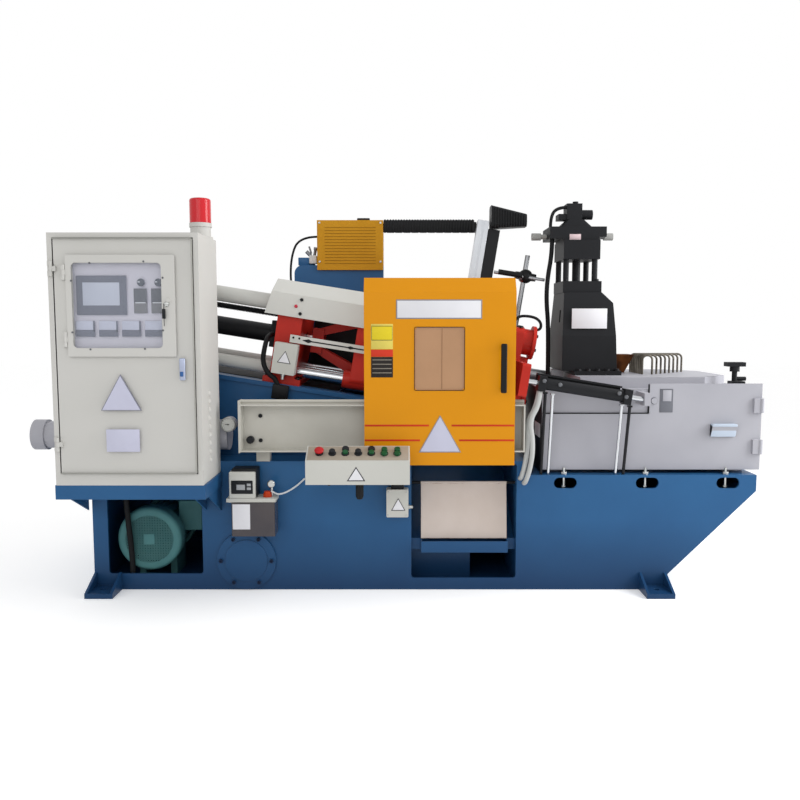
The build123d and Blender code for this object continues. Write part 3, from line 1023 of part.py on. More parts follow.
def spray_unit():
    """Black mast on the fixed platen, aluminium arm beside it, and the rod stand."""
    mast = block(MAST_U, (-MAST_HALF, MAST_HALF), (PLATEN_TOP_W + 16, MAST_TOP_W))
    mast += block((MAST_U[0], FIXED_U[0] + 60), (-60, 60), (PLATEN_TOP_W, PLATEN_TOP_W + 16))
    node("spray_mast", incline * mast)
    arm = block(ARM_U, (-ARM_HALF, ARM_HALF), ARM_W)
    for v in (-ARM_HALF, ARM_HALF):
        arm -= block((ARM_U[0] + 22, ARM_U[1] - 22), (v - 8, v + 8), ARM_W)
    arm += block((ARM_U[1], MAST_U[0]), (-15, 15), SPRAY_TIE_W)
    node("spray_arm", incline * arm)
    links = []
    y = CHAIN_Y
    chain = block((HOOD_X[1], CHAIN_END_X), (y[0] + 5, y[1] - 5), (CHAIN_Z[0] + 8, CHAIN_Z[1] - 8))
    count = int((CHAIN_END_X - HOOD_X[1] - CHAIN_LINK) / CHAIN_LINK)
    for k in range(count):
        x = HOOD_X[1] + CHAIN_LINK * (k + 0.5)
        chain += block((x, x + CHAIN_LINK - 8), y, CHAIN_Z)
    chain += block(CHAIN_ARM_X, (MAST_HALF, y[1] - 8), CHAIN_ARM_Z)
    chain += block(CHAIN_ARM_X, (y[0] + 8, y[1] - 8), (CHAIN_ARM_Z[1], CHAIN_Z[0] + 8))
    seat_x, seat_z = clamp_point(MAST_U[0], MAST_TOP_W)
    seat_z -= (NOSE_X[0] - seat_x) * tan(radians(INCLINE)) - SEAT
    ends = []
    for x, height, depth, rise in zip(NOSE_X, NOSE_HEIGHT, NOSE_DEPTH, (0, NOSE_RISE)):
        section = Plane(origin=(x, 0, seat_z + rise + height / 2), x_dir=(0, 1, 0), z_dir=(1, 0, 0))
        ends.append(section * RectangleRounded(depth, height, 20))
    node("cable_chain", chain, loft(ends))
    stand = rod_z(STAND_U, 0, (PLATEN_TOP_W, STAND_TOP_W), STAND_R)
    stand += rod_z(STAND_U, 0, (PLATEN_TOP_W, PLATEN_TOP_W + 14), STAND_R + 14)
    stand += Pos(STAND_U, 0, CROSS_W) * Sphere(30)
    stand += rod_x(CROSS_U, -24, CROSS_W, CROSS_R)
    node("rod_stand", incline * stand)


def tube(points, r, bend):
    """A hose along its route, with one arc at each corner."""
    path = FilletPolyline(*points, radius=bend)
    return sweep(Plane(origin=path @ 0, z_dir=path % 0) * Circle(r), path=path)


def hoses():
    """Hydraulic hoses and the heater's two conduits, each held at both of its ends."""
    gland_x, gland_z = clamp_point(BARREL_U[1] - 15, 0)
    plug = incline * block(PLUG_U, (-PLUG_FRONT, -BED_RAIL_HALF), PLUG_W)
    plug_x, plug_z = clamp_point(PLUG_U[0] + 16, PLUG_W[1])
    v = CLAMP_HOSE_V
    clamp = plug + tube([(gland_x, -GLAND_HALF, gland_z), (gland_x, v + 76, gland_z), (gland_x - 6, v, gland_z - 62),
                         (gland_x - 16, v, 1048), (gland_x + 6, v, 992), (plug_x, v, plug_z + 22),
                         (plug_x + 3, v, plug_z - 16)], CLAMP_HOSE_R, 26)
    wing_x = SHOT_WING_X[0] + 14
    wing_z = SHOT_TOP + SHOT_BASE + SHOT_ROD_LENGTH
    top = wing_z + SHOT_HEAD_RISE[3]
    under = wing_z + SHOT_HEAD_RISE[1]
    port = top + SHOT_NECK + VALVE_RISE - 18
    valve = tube([(wing_x, -30, top), (wing_x, -30, top + 62), (wing_x + 36, -30, port), (VALVE_X[0], -30, port)],
                 VALVE_HOSE_R, 24)
    fall = tube([(wing_x + 4, -60, under), (wing_x + 4, -60, under - 70), (wing_x - 16, -60, under - 190),
                 (wing_x - 20, -60, under - 300), (wing_x - 6, -60, under - 430), (wing_x - 6, -60, FURNACE_Z[1])],
                FALL_HOSE_R, 90)
    v = 37 - BAR_HALF_WIDTH
    w = BAR_HALF_HEIGHT + 64
    arc = incline * tube([(FIXED_U[1] - 45, v, PLATEN_TOP_W), (FIXED_U[1] - 45, v, w + 52), (BOSS_U - 15, v, w + 64),
                          (BOSS_U + 28, v, w + 40), (BOSS_U + 28, v, w), (BOSS_U, v, w)], ARC_HOSE_R, 20)
    bay = tube([(MOTOR_X - 96, BAY_HOSE_Y, MOTOR_BAY_Z[1] + PLATE), (MOTOR_X - 96, BAY_HOSE_Y, 430),
                (MOTOR_X - 88, BAY_HOSE_Y, 300), (MOTOR_X - 73, BAY_HOSE_Y, 140), (MOTOR_X - 73, BAY_HOSE_Y, PLATE)],
               BAY_HOSE_R, 140)
    y = TANK_Y[0] + 30
    lead = tube([(TANK_X[0], y, TANK_TOP - 137), (TANK_X[0] - 24, y, TANK_TOP - 137), (TANK_X[0] - 24, y, TANK_TOP + 40),
                 (TANK_X[0] + 24, y, HOOD_TOP - 83), (HOOD_X[0], y, HOOD_TOP - 83)], LEAD_R, 22)
    node("hydraulic_hoses", clamp, valve, fall, arc, bay, lead)

    gland_x, gland_z = clamp_point(DOCK_U[0] + 14, DOCK_W - 34)
    gland_z -= CONDUIT_R * tan(radians(INCLINE)) + SEAT
    front = tube([(gland_x, DOCK_V - 12, gland_z), (gland_x - 4, DOCK_V - 12, 862), (RAIL_X[1] + 21, DOCK_V - 12, 800),
                  (RAIL_X[1] + 39, DOCK_V - 10, 690), (RAIL_X[1] + 31, DOCK_V - 2, 590), (RAIL_X[1] + 11, DOCK_V + 30, 500),
                  (RAIL_X[1] + 11, BASE_FRONT, 500)], CONDUIT_R, 24)
    behind = tube([(gland_x, DOCK_V + 15, gland_z), (gland_x - 10, DOCK_V + 15, 856), (RAIL_X[1] + 15, DOCK_V + 15, 790),
                   (RAIL_X[1] + 18, DOCK_V + 15, 690), (RAIL_X[1] + 10, DOCK_V + 18, 600), (RAIL_X[1] - 7, DOCK_V + 32, 522),
                   (RAIL_X[1] - 7, BASE_FRONT, 522)], CONDUIT_R, 24)
    node("wire_conduits", front, behind)


base()
bed()
drop_bay()
motor()
clamp_unit()
clamp_trim()
guard()
cabinet()
controls()
lubricator()
cooler()
upright_tank()
furnace()
shot_unit()
nozzle()
docking()
spray_unit()
hoses()

os.makedirs("parts", exist_ok=True)
for name, shape in NODES.items():
    export_step(shape, f"parts/{name}.step")
print(len(NODES), "nodes")
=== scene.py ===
import math

import bmesh
import bpy
import numpy as np
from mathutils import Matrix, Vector


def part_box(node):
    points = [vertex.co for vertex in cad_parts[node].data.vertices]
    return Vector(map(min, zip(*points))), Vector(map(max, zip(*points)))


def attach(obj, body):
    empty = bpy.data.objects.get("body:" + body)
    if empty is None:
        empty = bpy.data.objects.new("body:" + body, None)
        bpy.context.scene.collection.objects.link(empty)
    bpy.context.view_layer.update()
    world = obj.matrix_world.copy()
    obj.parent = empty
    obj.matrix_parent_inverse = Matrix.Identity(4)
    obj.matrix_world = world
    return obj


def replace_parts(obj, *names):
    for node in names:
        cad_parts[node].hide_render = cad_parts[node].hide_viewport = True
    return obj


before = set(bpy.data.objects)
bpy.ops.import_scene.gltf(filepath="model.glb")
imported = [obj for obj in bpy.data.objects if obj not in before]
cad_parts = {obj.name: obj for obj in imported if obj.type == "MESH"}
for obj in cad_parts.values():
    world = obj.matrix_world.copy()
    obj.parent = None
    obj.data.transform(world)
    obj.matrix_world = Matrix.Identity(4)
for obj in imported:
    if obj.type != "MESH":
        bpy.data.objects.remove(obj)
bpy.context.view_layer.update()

# The base: a hollow box welded from 12 mm steel plate, primed and sprayed with blue enamel. It stands on
# four bolted feet, and three levelling screws come down through the ledge into slots in its front plate.


def srgb(code):
    """An sRGB hex colour as the linear RGBA that Blender wants."""
    channels = [int(code[i:i + 2], 16) / 255 for i in (0, 2, 4)]
    return tuple(c / 12.92 if c <= 0.04045 else ((c + 0.055) / 1.055) ** 2.4 for c in channels) + (1.0,)


def add(mat, kind, inputs=(), **settings):
    """Add a node to a material; inputs are values or sockets by name, settings are its properties."""
    node = mat.node_tree.nodes.new("ShaderNode" + kind)
    for key, value in settings.items():
        setattr(node, key, value)
    for key, value in dict(inputs).items():
        if isinstance(value, bpy.types.NodeSocket):
            mat.node_tree.links.new(value, node.inputs[key])
        else:
            node.inputs[key].default_value = value
    return node


def coated(name, code, shade, rough=0.38, metal=0.0, cloud=300, mix=0.5, skin=4, relief=0.15, edge=1.5,
           chips=0.0, chip_code="55585C", coat=0.0, low=0.0, low_code="2B2825"):
    """A sprayed, plated or cast surface; cloud, skin and edge are sizes in millimetres.

    Clouds mix the colour with its shade, a fine skin is the bump, edges turn over a small radius, chips
    show there, and the surface fades to a darker tone towards the bottom, over its lowest 330 mm.
    """
    mat = bpy.data.materials.new(name)
    mat.use_nodes = True
    links = mat.node_tree.links
    shader = mat.node_tree.nodes["Principled BSDF"]
    shader.inputs["Metallic"].default_value = metal
    shader.inputs["Specular IOR Level"].default_value = 0.5 if metal > 0.5 else 0.16
    shader.inputs["Coat Weight"].default_value = coat
    shader.inputs["Coat Roughness"].default_value = 0.15
    place = add(mat, "TexCoord").outputs["Object"]
    clouds = add(mat, "TexNoise", {"Vector": place, "Scale": 1000 / cloud, "Detail": 6.0}).outputs["Fac"]
    spread = add(mat, "MapRange", {"Value": clouds, "From Min": 0.38, "From Max": 0.68, "To Max": mix})
    colour = add(mat, "MixRGB", {"Fac": spread.outputs[0], "Color1": srgb(code), "Color2": srgb(shade)})
    round_edge = add(mat, "Bevel", {"Radius": edge / 1000}, samples=4).outputs["Normal"]
    grain = add(mat, "TexNoise", {"Vector": place, "Scale": 1000 / skin, "Detail": 3.0}).outputs["Fac"]
    bump = add(mat, "Bump", {"Strength": relief, "Distance": 0.001, "Height": grain, "Normal": round_edge})
    links.new(bump.outputs["Normal"], shader.inputs["Normal"])
    if chips:
        flat = add(mat, "NewGeometry").outputs["Normal"]
        turned_by = add(mat, "VectorMath", {0: round_edge, 1: flat}, operation="DOT_PRODUCT").outputs["Value"]
        rim = add(mat, "MapRange", {"Value": turned_by, "From Min": 0.99, "From Max": 0.9, "To Max": chips})
        spots = add(mat, "TexNoise", {"Vector": place, "Scale": 1000 / 40, "Detail": 4.0}).outputs["Fac"]
        gate = add(mat, "MapRange", {"Value": spots, "From Min": 0.45, "From Max": 0.62}).outputs[0]
        chipped = add(mat, "Math", {0: rim.outputs[0], 1: gate}, operation="MULTIPLY").outputs[0]
        colour = add(mat, "MixRGB", {"Fac": chipped, "Color1": colour.outputs[0], "Color2": srgb(chip_code)})
    # Darker towards the bottom: the colour fades to low_code over the lowest 330 mm.
    if low:
        height = add(mat, "SeparateXYZ", {"Vector": place}).outputs["Z"]
        fade = add(mat, "MapRange", {"Value": height, "From Min": 0.33, "From Max": 0.02, "To Max": low})
        tones = {"Fac": fade.outputs[0], "Color1": colour.outputs[0], "Color2": srgb(low_code)}
        colour = add(mat, "MixRGB", tones)
    links.new(colour.outputs[0], shader.inputs["Base Color"])
    gloss = add(mat, "MapRange", {"Value": clouds, "To Min": max(rough - 0.06, 0.04), "To Max": rough + 0.1})
    links.new(gloss.outputs[0], shader.inputs["Roughness"])
    return mat


def dress(material, *names):
    """Give CAD nodes their finish."""
    for name in names:
        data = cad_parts[name].data
        data.materials.clear()
        data.materials.append(material)


def quads(rows, cols, wrap):
    """Faces of a grid of rows by cols points, row after row; wrap joins the last column to the first."""
    row, col = np.meshgrid(np.arange(rows - 1), np.arange(cols if wrap else cols - 1), indexing="ij")
    a = (row * cols + col).ravel()
    b = (row * cols + (col + 1) % cols).ravel()
    return np.stack([a, b, b + cols, a + cols], -1).tolist()


def block(x, y, z, r=1.0, steps=2):
    """A box with round edges: the inner box's corner plus r times a direction that runs over a ball."""
    quarter = np.linspace(0, np.pi / 2, steps + 1)
    lon = np.concatenate([quarter + k * np.pi / 2 for k in range(4)])
    lat = np.concatenate([quarter - np.pi / 2, quarter])
    quadrant = np.repeat(np.arange(4), steps + 1)
    side = np.stack([np.where((quadrant == 0) | (quadrant == 3), 1, -1), np.where(quadrant < 2, 1, -1)], -1)
    up = np.repeat([-1, 1], steps + 1)
    limits = np.array([x, y, z], float)
    middle, inner = limits.mean(1), (limits[:, 1] - limits[:, 0]) / 2 - r
    la, lo = np.meshgrid(lat, lon, indexing="ij")
    ball = np.stack([np.cos(la) * np.cos(lo), np.cos(la) * np.sin(lo), np.sin(la)], -1)
    corner = np.empty(ball.shape)
    corner[..., :2] = side[None]
    corner[..., 2] = up[:, None]
    points = (middle + corner * inner + ball * r).reshape(-1, 3)
    cols, rows = len(lon), len(lat)
    lids = [list(range(cols))[::-1], list(range((rows - 1) * cols, rows * cols))]
    return points, quads(rows, cols, True) + lids


def turned(profile, centre, axis=(0, 0, 1), sides=24, spin=0.0):
    """A lathe shape: centre + s * axis + r * (cos t, sin t) across it, for each (s, r) of the profile."""
    way = np.array(axis, float) / np.linalg.norm(axis)
    across = np.cross(way, (0.0, 0.0, 1.0) if abs(way[2]) < 0.9 else (1.0, 0.0, 0.0))
    across /= np.linalg.norm(across)
    other = np.cross(way, across)
    t = np.linspace(0, 2 * np.pi, sides, endpoint=False) + spin
    s, r = np.array(profile, float).T
    ring = np.cos(t)[None, :, None] * across + np.sin(t)[None, :, None] * other
    points = np.array(centre, float) + s[:, None, None] * way + r[:, None, None] * ring
    rows = len(s)
    lids = [list(range(sides))[::-1], list(range((rows - 1) * sides, rows * sides))]
    return points.reshape(-1, 3), quads(rows, sides, True) + lids


def piece(name, shapes, material, body="machine", smooth=40):
    """One object from (points, faces) shapes in millimetres, riding on a body."""
    points, faces, start = [], [], 0
    for p, f in shapes:
        points.append(p)
        faces += [[i + start for i in face] for face in f]
        start += len(p)
    data = bpy.data.meshes.new(name)
    data.from_pydata((np.concatenate(points) / 1000).tolist(), [], faces)
    mesh = bmesh.new()
    mesh.from_mesh(data)
    bmesh.ops.remove_doubles(mesh, verts=mesh.verts, dist=2e-6)
    bmesh.ops.dissolve_degenerate(mesh, edges=mesh.edges, dist=2e-6)
    bmesh.ops.recalc_face_normals(mesh, faces=mesh.faces)
    mesh.to_mesh(data)
    mesh.free()
    data.shade_smooth()
    data.set_sharp_from_angle(angle=math.radians(smooth))
    data.materials.append(material)
    obj = bpy.data.objects.new(name, data)
    bpy.context.collection.objects.link(obj)
    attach(obj, body)
    return obj


def hex_bolt(place, axis, size):
    """A washer and a hexagon head seen from outside; size is the thread's diameter."""
    washer = turned([(0, 0), (0, size), (size * 0.18, size), (size * 0.18, 0)], place, axis)
    side = [(0.15, 0), (0.15, 0.92), (0.75, 0.92), (0.85, 0.78), (0.85, 0)]
    head = turned([(size * s, size * r) for s, r in side], place, axis, 6)
    return [washer, head]


def cap_screw(place, axis, size):
    """A socket head screw: a plain round head with a round pocket; size is the head's radius."""
    side = [(0, 0), (0, 1), (0.75, 1), (0.9, 0.86), (0.9, 0.5), (0.4, 0.5), (0.4, 0)]
    return turned([(size * s, size * r) for s, r in side], place, axis, 12)


def rod(place, axis, r, length, sides=24, start=0):
    """A plain round bar along an axis, starting `start` beyond the place; six sides make a hexagon."""
    return turned([(start, 0), (start, r), (start + length, r), (start + length, 0)], place, axis, sides)


# Two-pack enamel sprayed on primer: glossy, a little cloudy, chipped to primer at the corners and darker
# towards the bottom.
blue = coated("blue_enamel", "2A5C8A", "224C78", rough=0.34, chips=0.4, chip_code="6B8FB3", coat=0.08,
              cloud=420, low=0.7, low_code="122A4C")
dress(blue, "base_front_plate", "base_back_plate", "base_bulkheads", "base_decks", "anchor_feet",
      "clean_out_cover", "inclined_bed", "chute_tray", "cabinet_shelf", "upright_tank")
# Zinc-plated screws: bright, slightly yellow, dulled by handling.
zinc = coated("zinc_plate", "C4C6C4", "8F9190", rough=0.32, metal=1.0, cloud=20)
FRONT, BACK, UP, DOWN, RIGHT = (0, -1, 0), (0, 1, 0), (0, 0, 1), (0, 0, -1), (1, 0, 0)
SLOTS_X, STUD_Y, STUD_FOOT_Z = (842, 1216, 1584), -424, 474
washer_rim = [(62, 0), (62, 13), (63, 14), (72, 14), (73, 13), (73, 0)]
studs = []
for x in SLOTS_X:
    foot = (x, STUD_Y, STUD_FOOT_Z)
    studs += [rod(foot, UP, 6, 92, 12), turned(washer_rim, foot, UP, 6), rod(foot, UP, 10, 7, 6, start=2)]
piece("levelling_screws", studs, zinc)

COVER_X, COVER_FACE, COVER_Z, COVER_BOLT_RING = -615, -468, 140, 116
cover_screws = []
for k in range(6):
    a = math.radians(60 * k)
    place = (COVER_X + COVER_BOLT_RING * math.cos(a), COVER_FACE, COVER_Z + COVER_BOLT_RING * math.sin(a))
    cover_screws.append(cap_screw(place, FRONT, 9))
# Screw heads blackened and then sprayed over with the base: nearly black, with a blue cast.
dark_screws = coated("dark_screws", "15243F", "101B30", rough=0.5)
piece("clean_out_screws", cover_screws, dark_screws)

# The pump motor: a finned cast body with a pressed sheet cowl over its fan, painted pale green. The cowl's
# front is a grille of square holes round a small centre plate, and a terminal box sits on the body.

# Machine enamel over a casting: satin, mottled, worn to a pale grey at its edges.
motor_paint = coated("motor_enamel", "568A8B", "48787B", rough=0.42, chips=0.3, chip_code="8FA9A6", cloud=90)
dress(motor_paint, "pump_motor")
MOTOR_X, COWL_FRONT, MOTOR_Z = -1080, -395, 222
COWL_R, COWL_DEPTH, COWL_WALL, COWL_CORNER = 150, 72, 4, 18
GRILLE_R, BAR_PITCH, BAR_HALF = 112, 12, 3
outer = [(COWL_CORNER - COWL_CORNER * math.cos(a), COWL_R - COWL_CORNER + COWL_CORNER * math.sin(a))
         for a in np.linspace(0, math.pi / 2, 6)]
inner = [(COWL_WALL + COWL_CORNER - COWL_CORNER * math.cos(a),
          COWL_R - COWL_WALL - COWL_CORNER + COWL_CORNER * math.sin(a))
         for a in np.linspace(math.pi / 2, 0, 6)]
sheet = [(0, GRILLE_R), *outer, (COWL_DEPTH, COWL_R), (COWL_DEPTH, COWL_R - COWL_WALL), *inner,
         (COWL_WALL, GRILLE_R), (0, GRILLE_R)]
points, faces = turned(sheet, (MOTOR_X, COWL_FRONT, MOTOR_Z), BACK, 64)
cowl = [(points, faces[:-2])]
bar_y = (COWL_FRONT + 0.5, COWL_FRONT + 3.5)
for k in range(-9, 10):
    off = BAR_PITCH * k
    reach = math.sqrt((GRILLE_R + BAR_HALF) ** 2 - off ** 2)
    across = (MOTOR_X - reach, MOTOR_X + reach)
    cowl.append(block(across, bar_y, (MOTOR_Z + off - BAR_HALF, MOTOR_Z + off + BAR_HALF), 0.3, 1))
    upright = (MOTOR_Z - reach, MOTOR_Z + reach)
    cowl.append(block((MOTOR_X + off - BAR_HALF, MOTOR_X + off + BAR_HALF), bar_y, upright, 0.3, 1))
HUB_HALF = 25
hub_x, hub_z = (MOTOR_X - HUB_HALF, MOTOR_X + HUB_HALF), (MOTOR_Z - HUB_HALF, MOTOR_Z + HUB_HALF)
cowl.append(block(hub_x, (COWL_FRONT - 1, COWL_FRONT + 3), hub_z, 1))
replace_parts(piece("motor_grille", cowl, motor_paint), "motor_cowl")
terminals = [block((-975, -862), (-270, -130), (232, 378), 6, 3),
             block((-862, -856), (-262, -138), (240, 370), 2)]
piece("terminal_box", terminals, motor_paint)

# The baffle behind the rear bay opening: two rails with two rows of offset slats, so that air passes between
# the rows and no light does. The slats are folded sheet, spot-welded to the rails.
BAFFLE_LEFT, SLATS, SLAT_PITCH, SLAT_Z = -1262, 5, 99, (62, 494)
NEAR_SLAT, FAR_START, FAR_SLAT = 60, 47, 65
baffle = [block((BAFFLE_LEFT, -806), (449, 500), z, 2) for z in ((54, 70), (486, 502))]
for k in range(SLATS):
    left = BAFFLE_LEFT + SLAT_PITCH * k
    baffle.append(block((left, left + NEAR_SLAT), (474, 477), SLAT_Z, 1))
    if k < SLATS - 1:
        baffle.append(block((left + FAR_START, left + FAR_START + FAR_SLAT), (492, 495), SLAT_Z, 1))
# Matt black primer, no gloss at all: painted shade, a black sheet that keeps the bay behind the motor dark.
painted_shade_black = coated("painted_shade_black", "18191B", "121314", rough=0.7)
piece("rear_baffle", baffle, painted_shade_black)

# The drop bay: a cream steel sheet hung on a black rod under the die, over a blue catch tray. Castings slide
# down it, which has worn its edges to rust.

# Old cream enamel: warm, scuffed, rusty all along its rim.
worn = coated("worn_cream_sheet", "D0C4BC", "C2B3A8", rough=0.5, chips=1.0, chip_code="7A3D20", cloud=160,
              edge=4)
dress(worn, "drop_chute")
CHUTE_ROD_Y, CHUTE_ROD_Z, CHUTE_ROD_R = -392, 491, 7.4
rod_ends = [rod((left, CHUTE_ROD_Y, CHUTE_ROD_Z), RIGHT, CHUTE_ROD_R, right - left, 16)
            for left, right in ((143, 186), (584, 622))]
# Blackened bar, oily and dull.
rod_black = coated("rod_black", "15171B", "101114", rough=0.5)
piece("chute_rod_ends", rod_ends, rod_black)

# The cabinet: folded 3 mm sheet with a pale powder coat. A window door covers the recessed instruments,
# and the outer door carries it, a latch, a bare triangle and a bare plate.


def plate(x, z, face, proud=1.0, sunk=0.0, r=0.4, steps=2):
    """A flat block on a front face: it stands proud of the face and is sunk into it, in millimetres."""
    return block(x, (face - proud, face + sunk), z, r, steps)


# Powder coat: pale warm grey, even, with a fine orange-peel skin.
powder = coated("cabinet_powder_coat", "CBCAC6", "C3C2BD", rough=0.5, skin=2.5, relief=0.2, cloud=600)
dress(powder, "cabinet_shell", "cabinet_door", "instrument_door", "beacon_post")
# Printed panel film: cooler and smoother than the powder coat round it.
panel_film = coated("panel_film", "CBCAD6", "C2C1CE", rough=0.4)
dress(panel_film, "instrument_panel")
PANEL = -764
# Moulded instrument cases: bluish grey with a fine spark-eroded grain.
dark_case = coated("dark_grey_case", "6B6F7E", "626675", rough=0.45, skin=1.5)
# The dead screen: pale and glossy, with a faint cloud of painted reflection in its colour.
screen_glass = coated("pale_screen", "B6BCCC", "AEB4C6", rough=0.12, cloud=120, coat=0.3)
# Black moulded plastic, half matt.
black_case = coated("black_case", "1D1F23", "17181B", rough=0.4)
piece("panel_screen_frame", [plate((-1229, -1023), (1258, 1418), PANEL, 3, 1, 2)], dark_case,
      "cabinet_door")
piece("panel_screen", [plate((-1202, -1052), (1297, 1390), PANEL, 4, -2, 0.8)], screen_glass,
      "cabinet_door")
CONTROLLER_HALF, KNOB_Z, KNOB_SHIFT = 27, 1390, 4
knob_side = [(0, 0), (0, 16), (4, 16), (7, 13), (7, 0)]
uppers, lowers, marks, knobs = [], [], [], []
for x in (-968, -897):
    wide = (x - CONTROLLER_HALF, x + CONTROLLER_HALF)
    uppers.append(plate(wide, (1307, 1366), PANEL, 3, 1, 1.5))
    lowers.append(plate(wide, (1265, 1307), PANEL, 3, 1, 1.5))
    marks.append(plate((x - 21, x + 21), (1306, 1310), PANEL, 4, -2, 0.6))
    knob_x = x + KNOB_SHIFT
    knobs.append(turned(knob_side, (knob_x, PANEL + 1, KNOB_Z), FRONT))
    marks.append(plate((knob_x - 13, knob_x - 3), (KNOB_Z, KNOB_Z + 4), PANEL, 7, -5, 0.6))
METERS_LEFT, METER_PITCH = -1234, 94
meter_tops, meter_feet = [], []
for k in range(4):
    x = METERS_LEFT + METER_PITCH * k
    meter_tops.append(plate((x, x + 76), (1171, 1234), PANEL, 3, 1, 1.5))
    meter_feet.append(plate((x - 0.5, x + 76.5), (1170.5, 1198), PANEL, 4, 1, 1))
    meter_feet.append(plate((x + 70, x + 76.5), (1190, 1234.5), PANEL, 4, 1, 1))
# The instruments' plastics, told apart by tone: dark faces, greyer keys, bluish knobs, pale marks and meters.
instruments = {
    "panel_controllers": (uppers, coated("controller_grey", "5F626B", "575A63", rough=0.4), "black_plastic"),
    "panel_controller_keys": (lowers, coated("key_grey", "77787E", "6F7076", rough=0.45), "black_plastic"),
    "panel_knobs": (knobs, coated("knob_grey", "545A66", "4A505C", rough=0.3), "black_plastic"),
    "panel_marks": (marks, coated("pale_mark", "D5D8E0", "CCCFD8", rough=0.4), "cabinet_grey"),
    "panel_meters": (meter_tops, coated("meter_face", "BABED0", "B0B4C7", rough=0.25), "cabinet_grey"),
    "panel_meter_feet": (meter_feet, dark_case, "black_plastic")}
for name, (shapes, plastic_tone, slot) in instruments.items():
    piece(name, shapes, plastic_tone, "cabinet_door")

# Clear acrylic: nearly colourless, with a gloss that picks up the lights and a slight haze.
acrylic = bpy.data.materials.new("clear_acrylic")
acrylic.use_nodes = True
pane = acrylic.node_tree.nodes["Principled BSDF"]
pane.inputs["Base Color"].default_value = srgb("DDE3EA")
pane.inputs["Specular IOR Level"].default_value = 0.2
pane.inputs["Alpha"].default_value = 0.06
haze = add(acrylic, "TexNoise", {"Vector": add(acrylic, "TexCoord").outputs["Object"], "Scale": 6.0})
dull = add(acrylic, "MapRange", {"Value": haze.outputs["Fac"], "To Min": 0.05, "To Max": 0.2})
acrylic.node_tree.links.new(dull.outputs[0], pane.inputs["Roughness"])
dress(acrylic, "instrument_window")

DOOR = -785
screws = []
for x, z in ((-1163, 1467), (-945, 1473), (-869, 1408), (-873, 1196), (-1240, 1396), (-1242, 1188),
             (-1171, 1119), (-949, 1121)):
    screws.append(cap_screw((x, DOOR + 1, z), FRONT, 4))
# Zinc gone dull: grey, half metallic.
dulled = coated("dulled_zinc", "6E7074", "5C5E62", rough=0.5, metal=0.6)
piece("window_screws", screws, dulled, "instrument_door")
LOCK_X, LOCK_Z = -856, 1302
lock = [turned([(0, 0), (0, 11), (5, 10), (7, 8), (7, 0)], (LOCK_X, DOOR, LOCK_Z), FRONT),
        plate((LOCK_X - 10, LOCK_X + 10), (LOCK_Z - 2, LOCK_Z + 2), DOOR, 12, -6, 1)]
piece("window_lock", lock, zinc, "instrument_door")
key = [plate((-872, -858), (1243, 1283), DOOR, 15, -9, 2.5),
       plate((-866, -863), (1213, 1304), DOOR, 13, -11, 1)]
piece("window_key", key, black_case, "instrument_door")

seal_y = (DOOR + 2, DOOR + 12)
seal = [block((-1314, -754), seal_y, (603.4, 606.6), 0.6),
        block((-1314, -754), seal_y, (1564.4, 1567.6), 0.6),
        block((-753.6, -750.4), seal_y, (606, 1565), 0.6)]
# Foam seal: grey and dead matt in the gap behind the door.
seal_grey = coated("grey_seal", "A4A49E", "989892", rough=0.6)
piece("door_seal", seal, seal_grey, "cabinet_door")
# The latch: a chrome-like lacquered plate that mirrors the room softly, and its blue push pad.
latch_plate = coated("latch_silver", "AEB6CC", "A2AAC0", rough=0.3, metal=0.4)
blue_plastic = coated("blue_plastic", "3F66A0", "345A90", rough=0.35)
piece("cabinet_latch", [plate((-811, -787), (992, 1083), DOOR, 5, 6, 5, 3)], latch_plate,
      "cabinet_door")
piece("latch_push", [plate((-808, -794), (1008, 1028), DOOR, 8, -3, 3, 3)], blue_plastic,
      "cabinet_door")


def triangle(middle_x, base_z, half, height, y, thick):
    """A flat triangular plate: three points on its front, the same three on its back."""
    flat = [(middle_x - half, base_z), (middle_x + half, base_z), (middle_x, base_z + height)]
    points = np.array([(x, y - thick, z) for x, z in flat] + [(x, y, z) for x, z in flat], float)
    return points, [[0, 1, 2], [5, 4, 3], [0, 3, 4, 1], [1, 4, 5, 2], [2, 5, 3, 0]]


def bare_sign(name, edge, face, edge_paint, face_paint, body="machine"):
    """A bare triangular sign: a pale triangle on a darker, larger one, each as triangle() takes it."""
    piece(name + "_edge", [triangle(*edge)], edge_paint, body)
    piece(name, [triangle(*face)], face_paint, body)


# Bare printed-film plates: pale film or aluminium film inside a grey or nearly black border line.
border = coated("grey_border", "8A8B98", "7C7D8A", rough=0.45)
outline = coated("dark_outline", "303036", "28282E", rough=0.45)
film = coated("bare_film", "E6E6EA", "DADAE0", rough=0.4, cloud=60)
silver = coated("bare_aluminium_film", "C4C5D8", "BCBDD0", rough=0.4, metal=0.1, cloud=80)
bare_sign("cabinet_triangle", (-1054, 868, 83, 148, DOOR + 6, 7), (-1054, 870.5, 78, 140, DOOR - 0.8, 0.8),
          border, silver, "cabinet_door")
piece("cabinet_plate", [plate((-1119, -983), (697, 790), DOOR, 1, 6)], silver, "cabinet_door")

side_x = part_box("cabinet_shell")[1].x * 1000
vent_side = [(0, 0), (0, 13), (4, 11), (7, 6), (8, 0)]
VENTS_Y, VENTS_LOW, VENT_PITCH = -640, 640, 36
vents = [turned(vent_side, (side_x, VENTS_Y, VENTS_LOW + VENT_PITCH * k), RIGHT, 16) for k in range(9)]
piece("cabinet_vents", vents, powder)

# Red acrylic: deep, saturated, with a clear gloss over it.
beacon_red = coated("beacon_acrylic", "CC1E28", "B01822", rough=0.14, coat=0.35)
dress(beacon_red, "beacon_lamp")

# The oil cooler and its gauge: a painted steel drum, and a stainless gauge with a pale dial, eleven marks
# and a black needle, screwed into the drum's end.

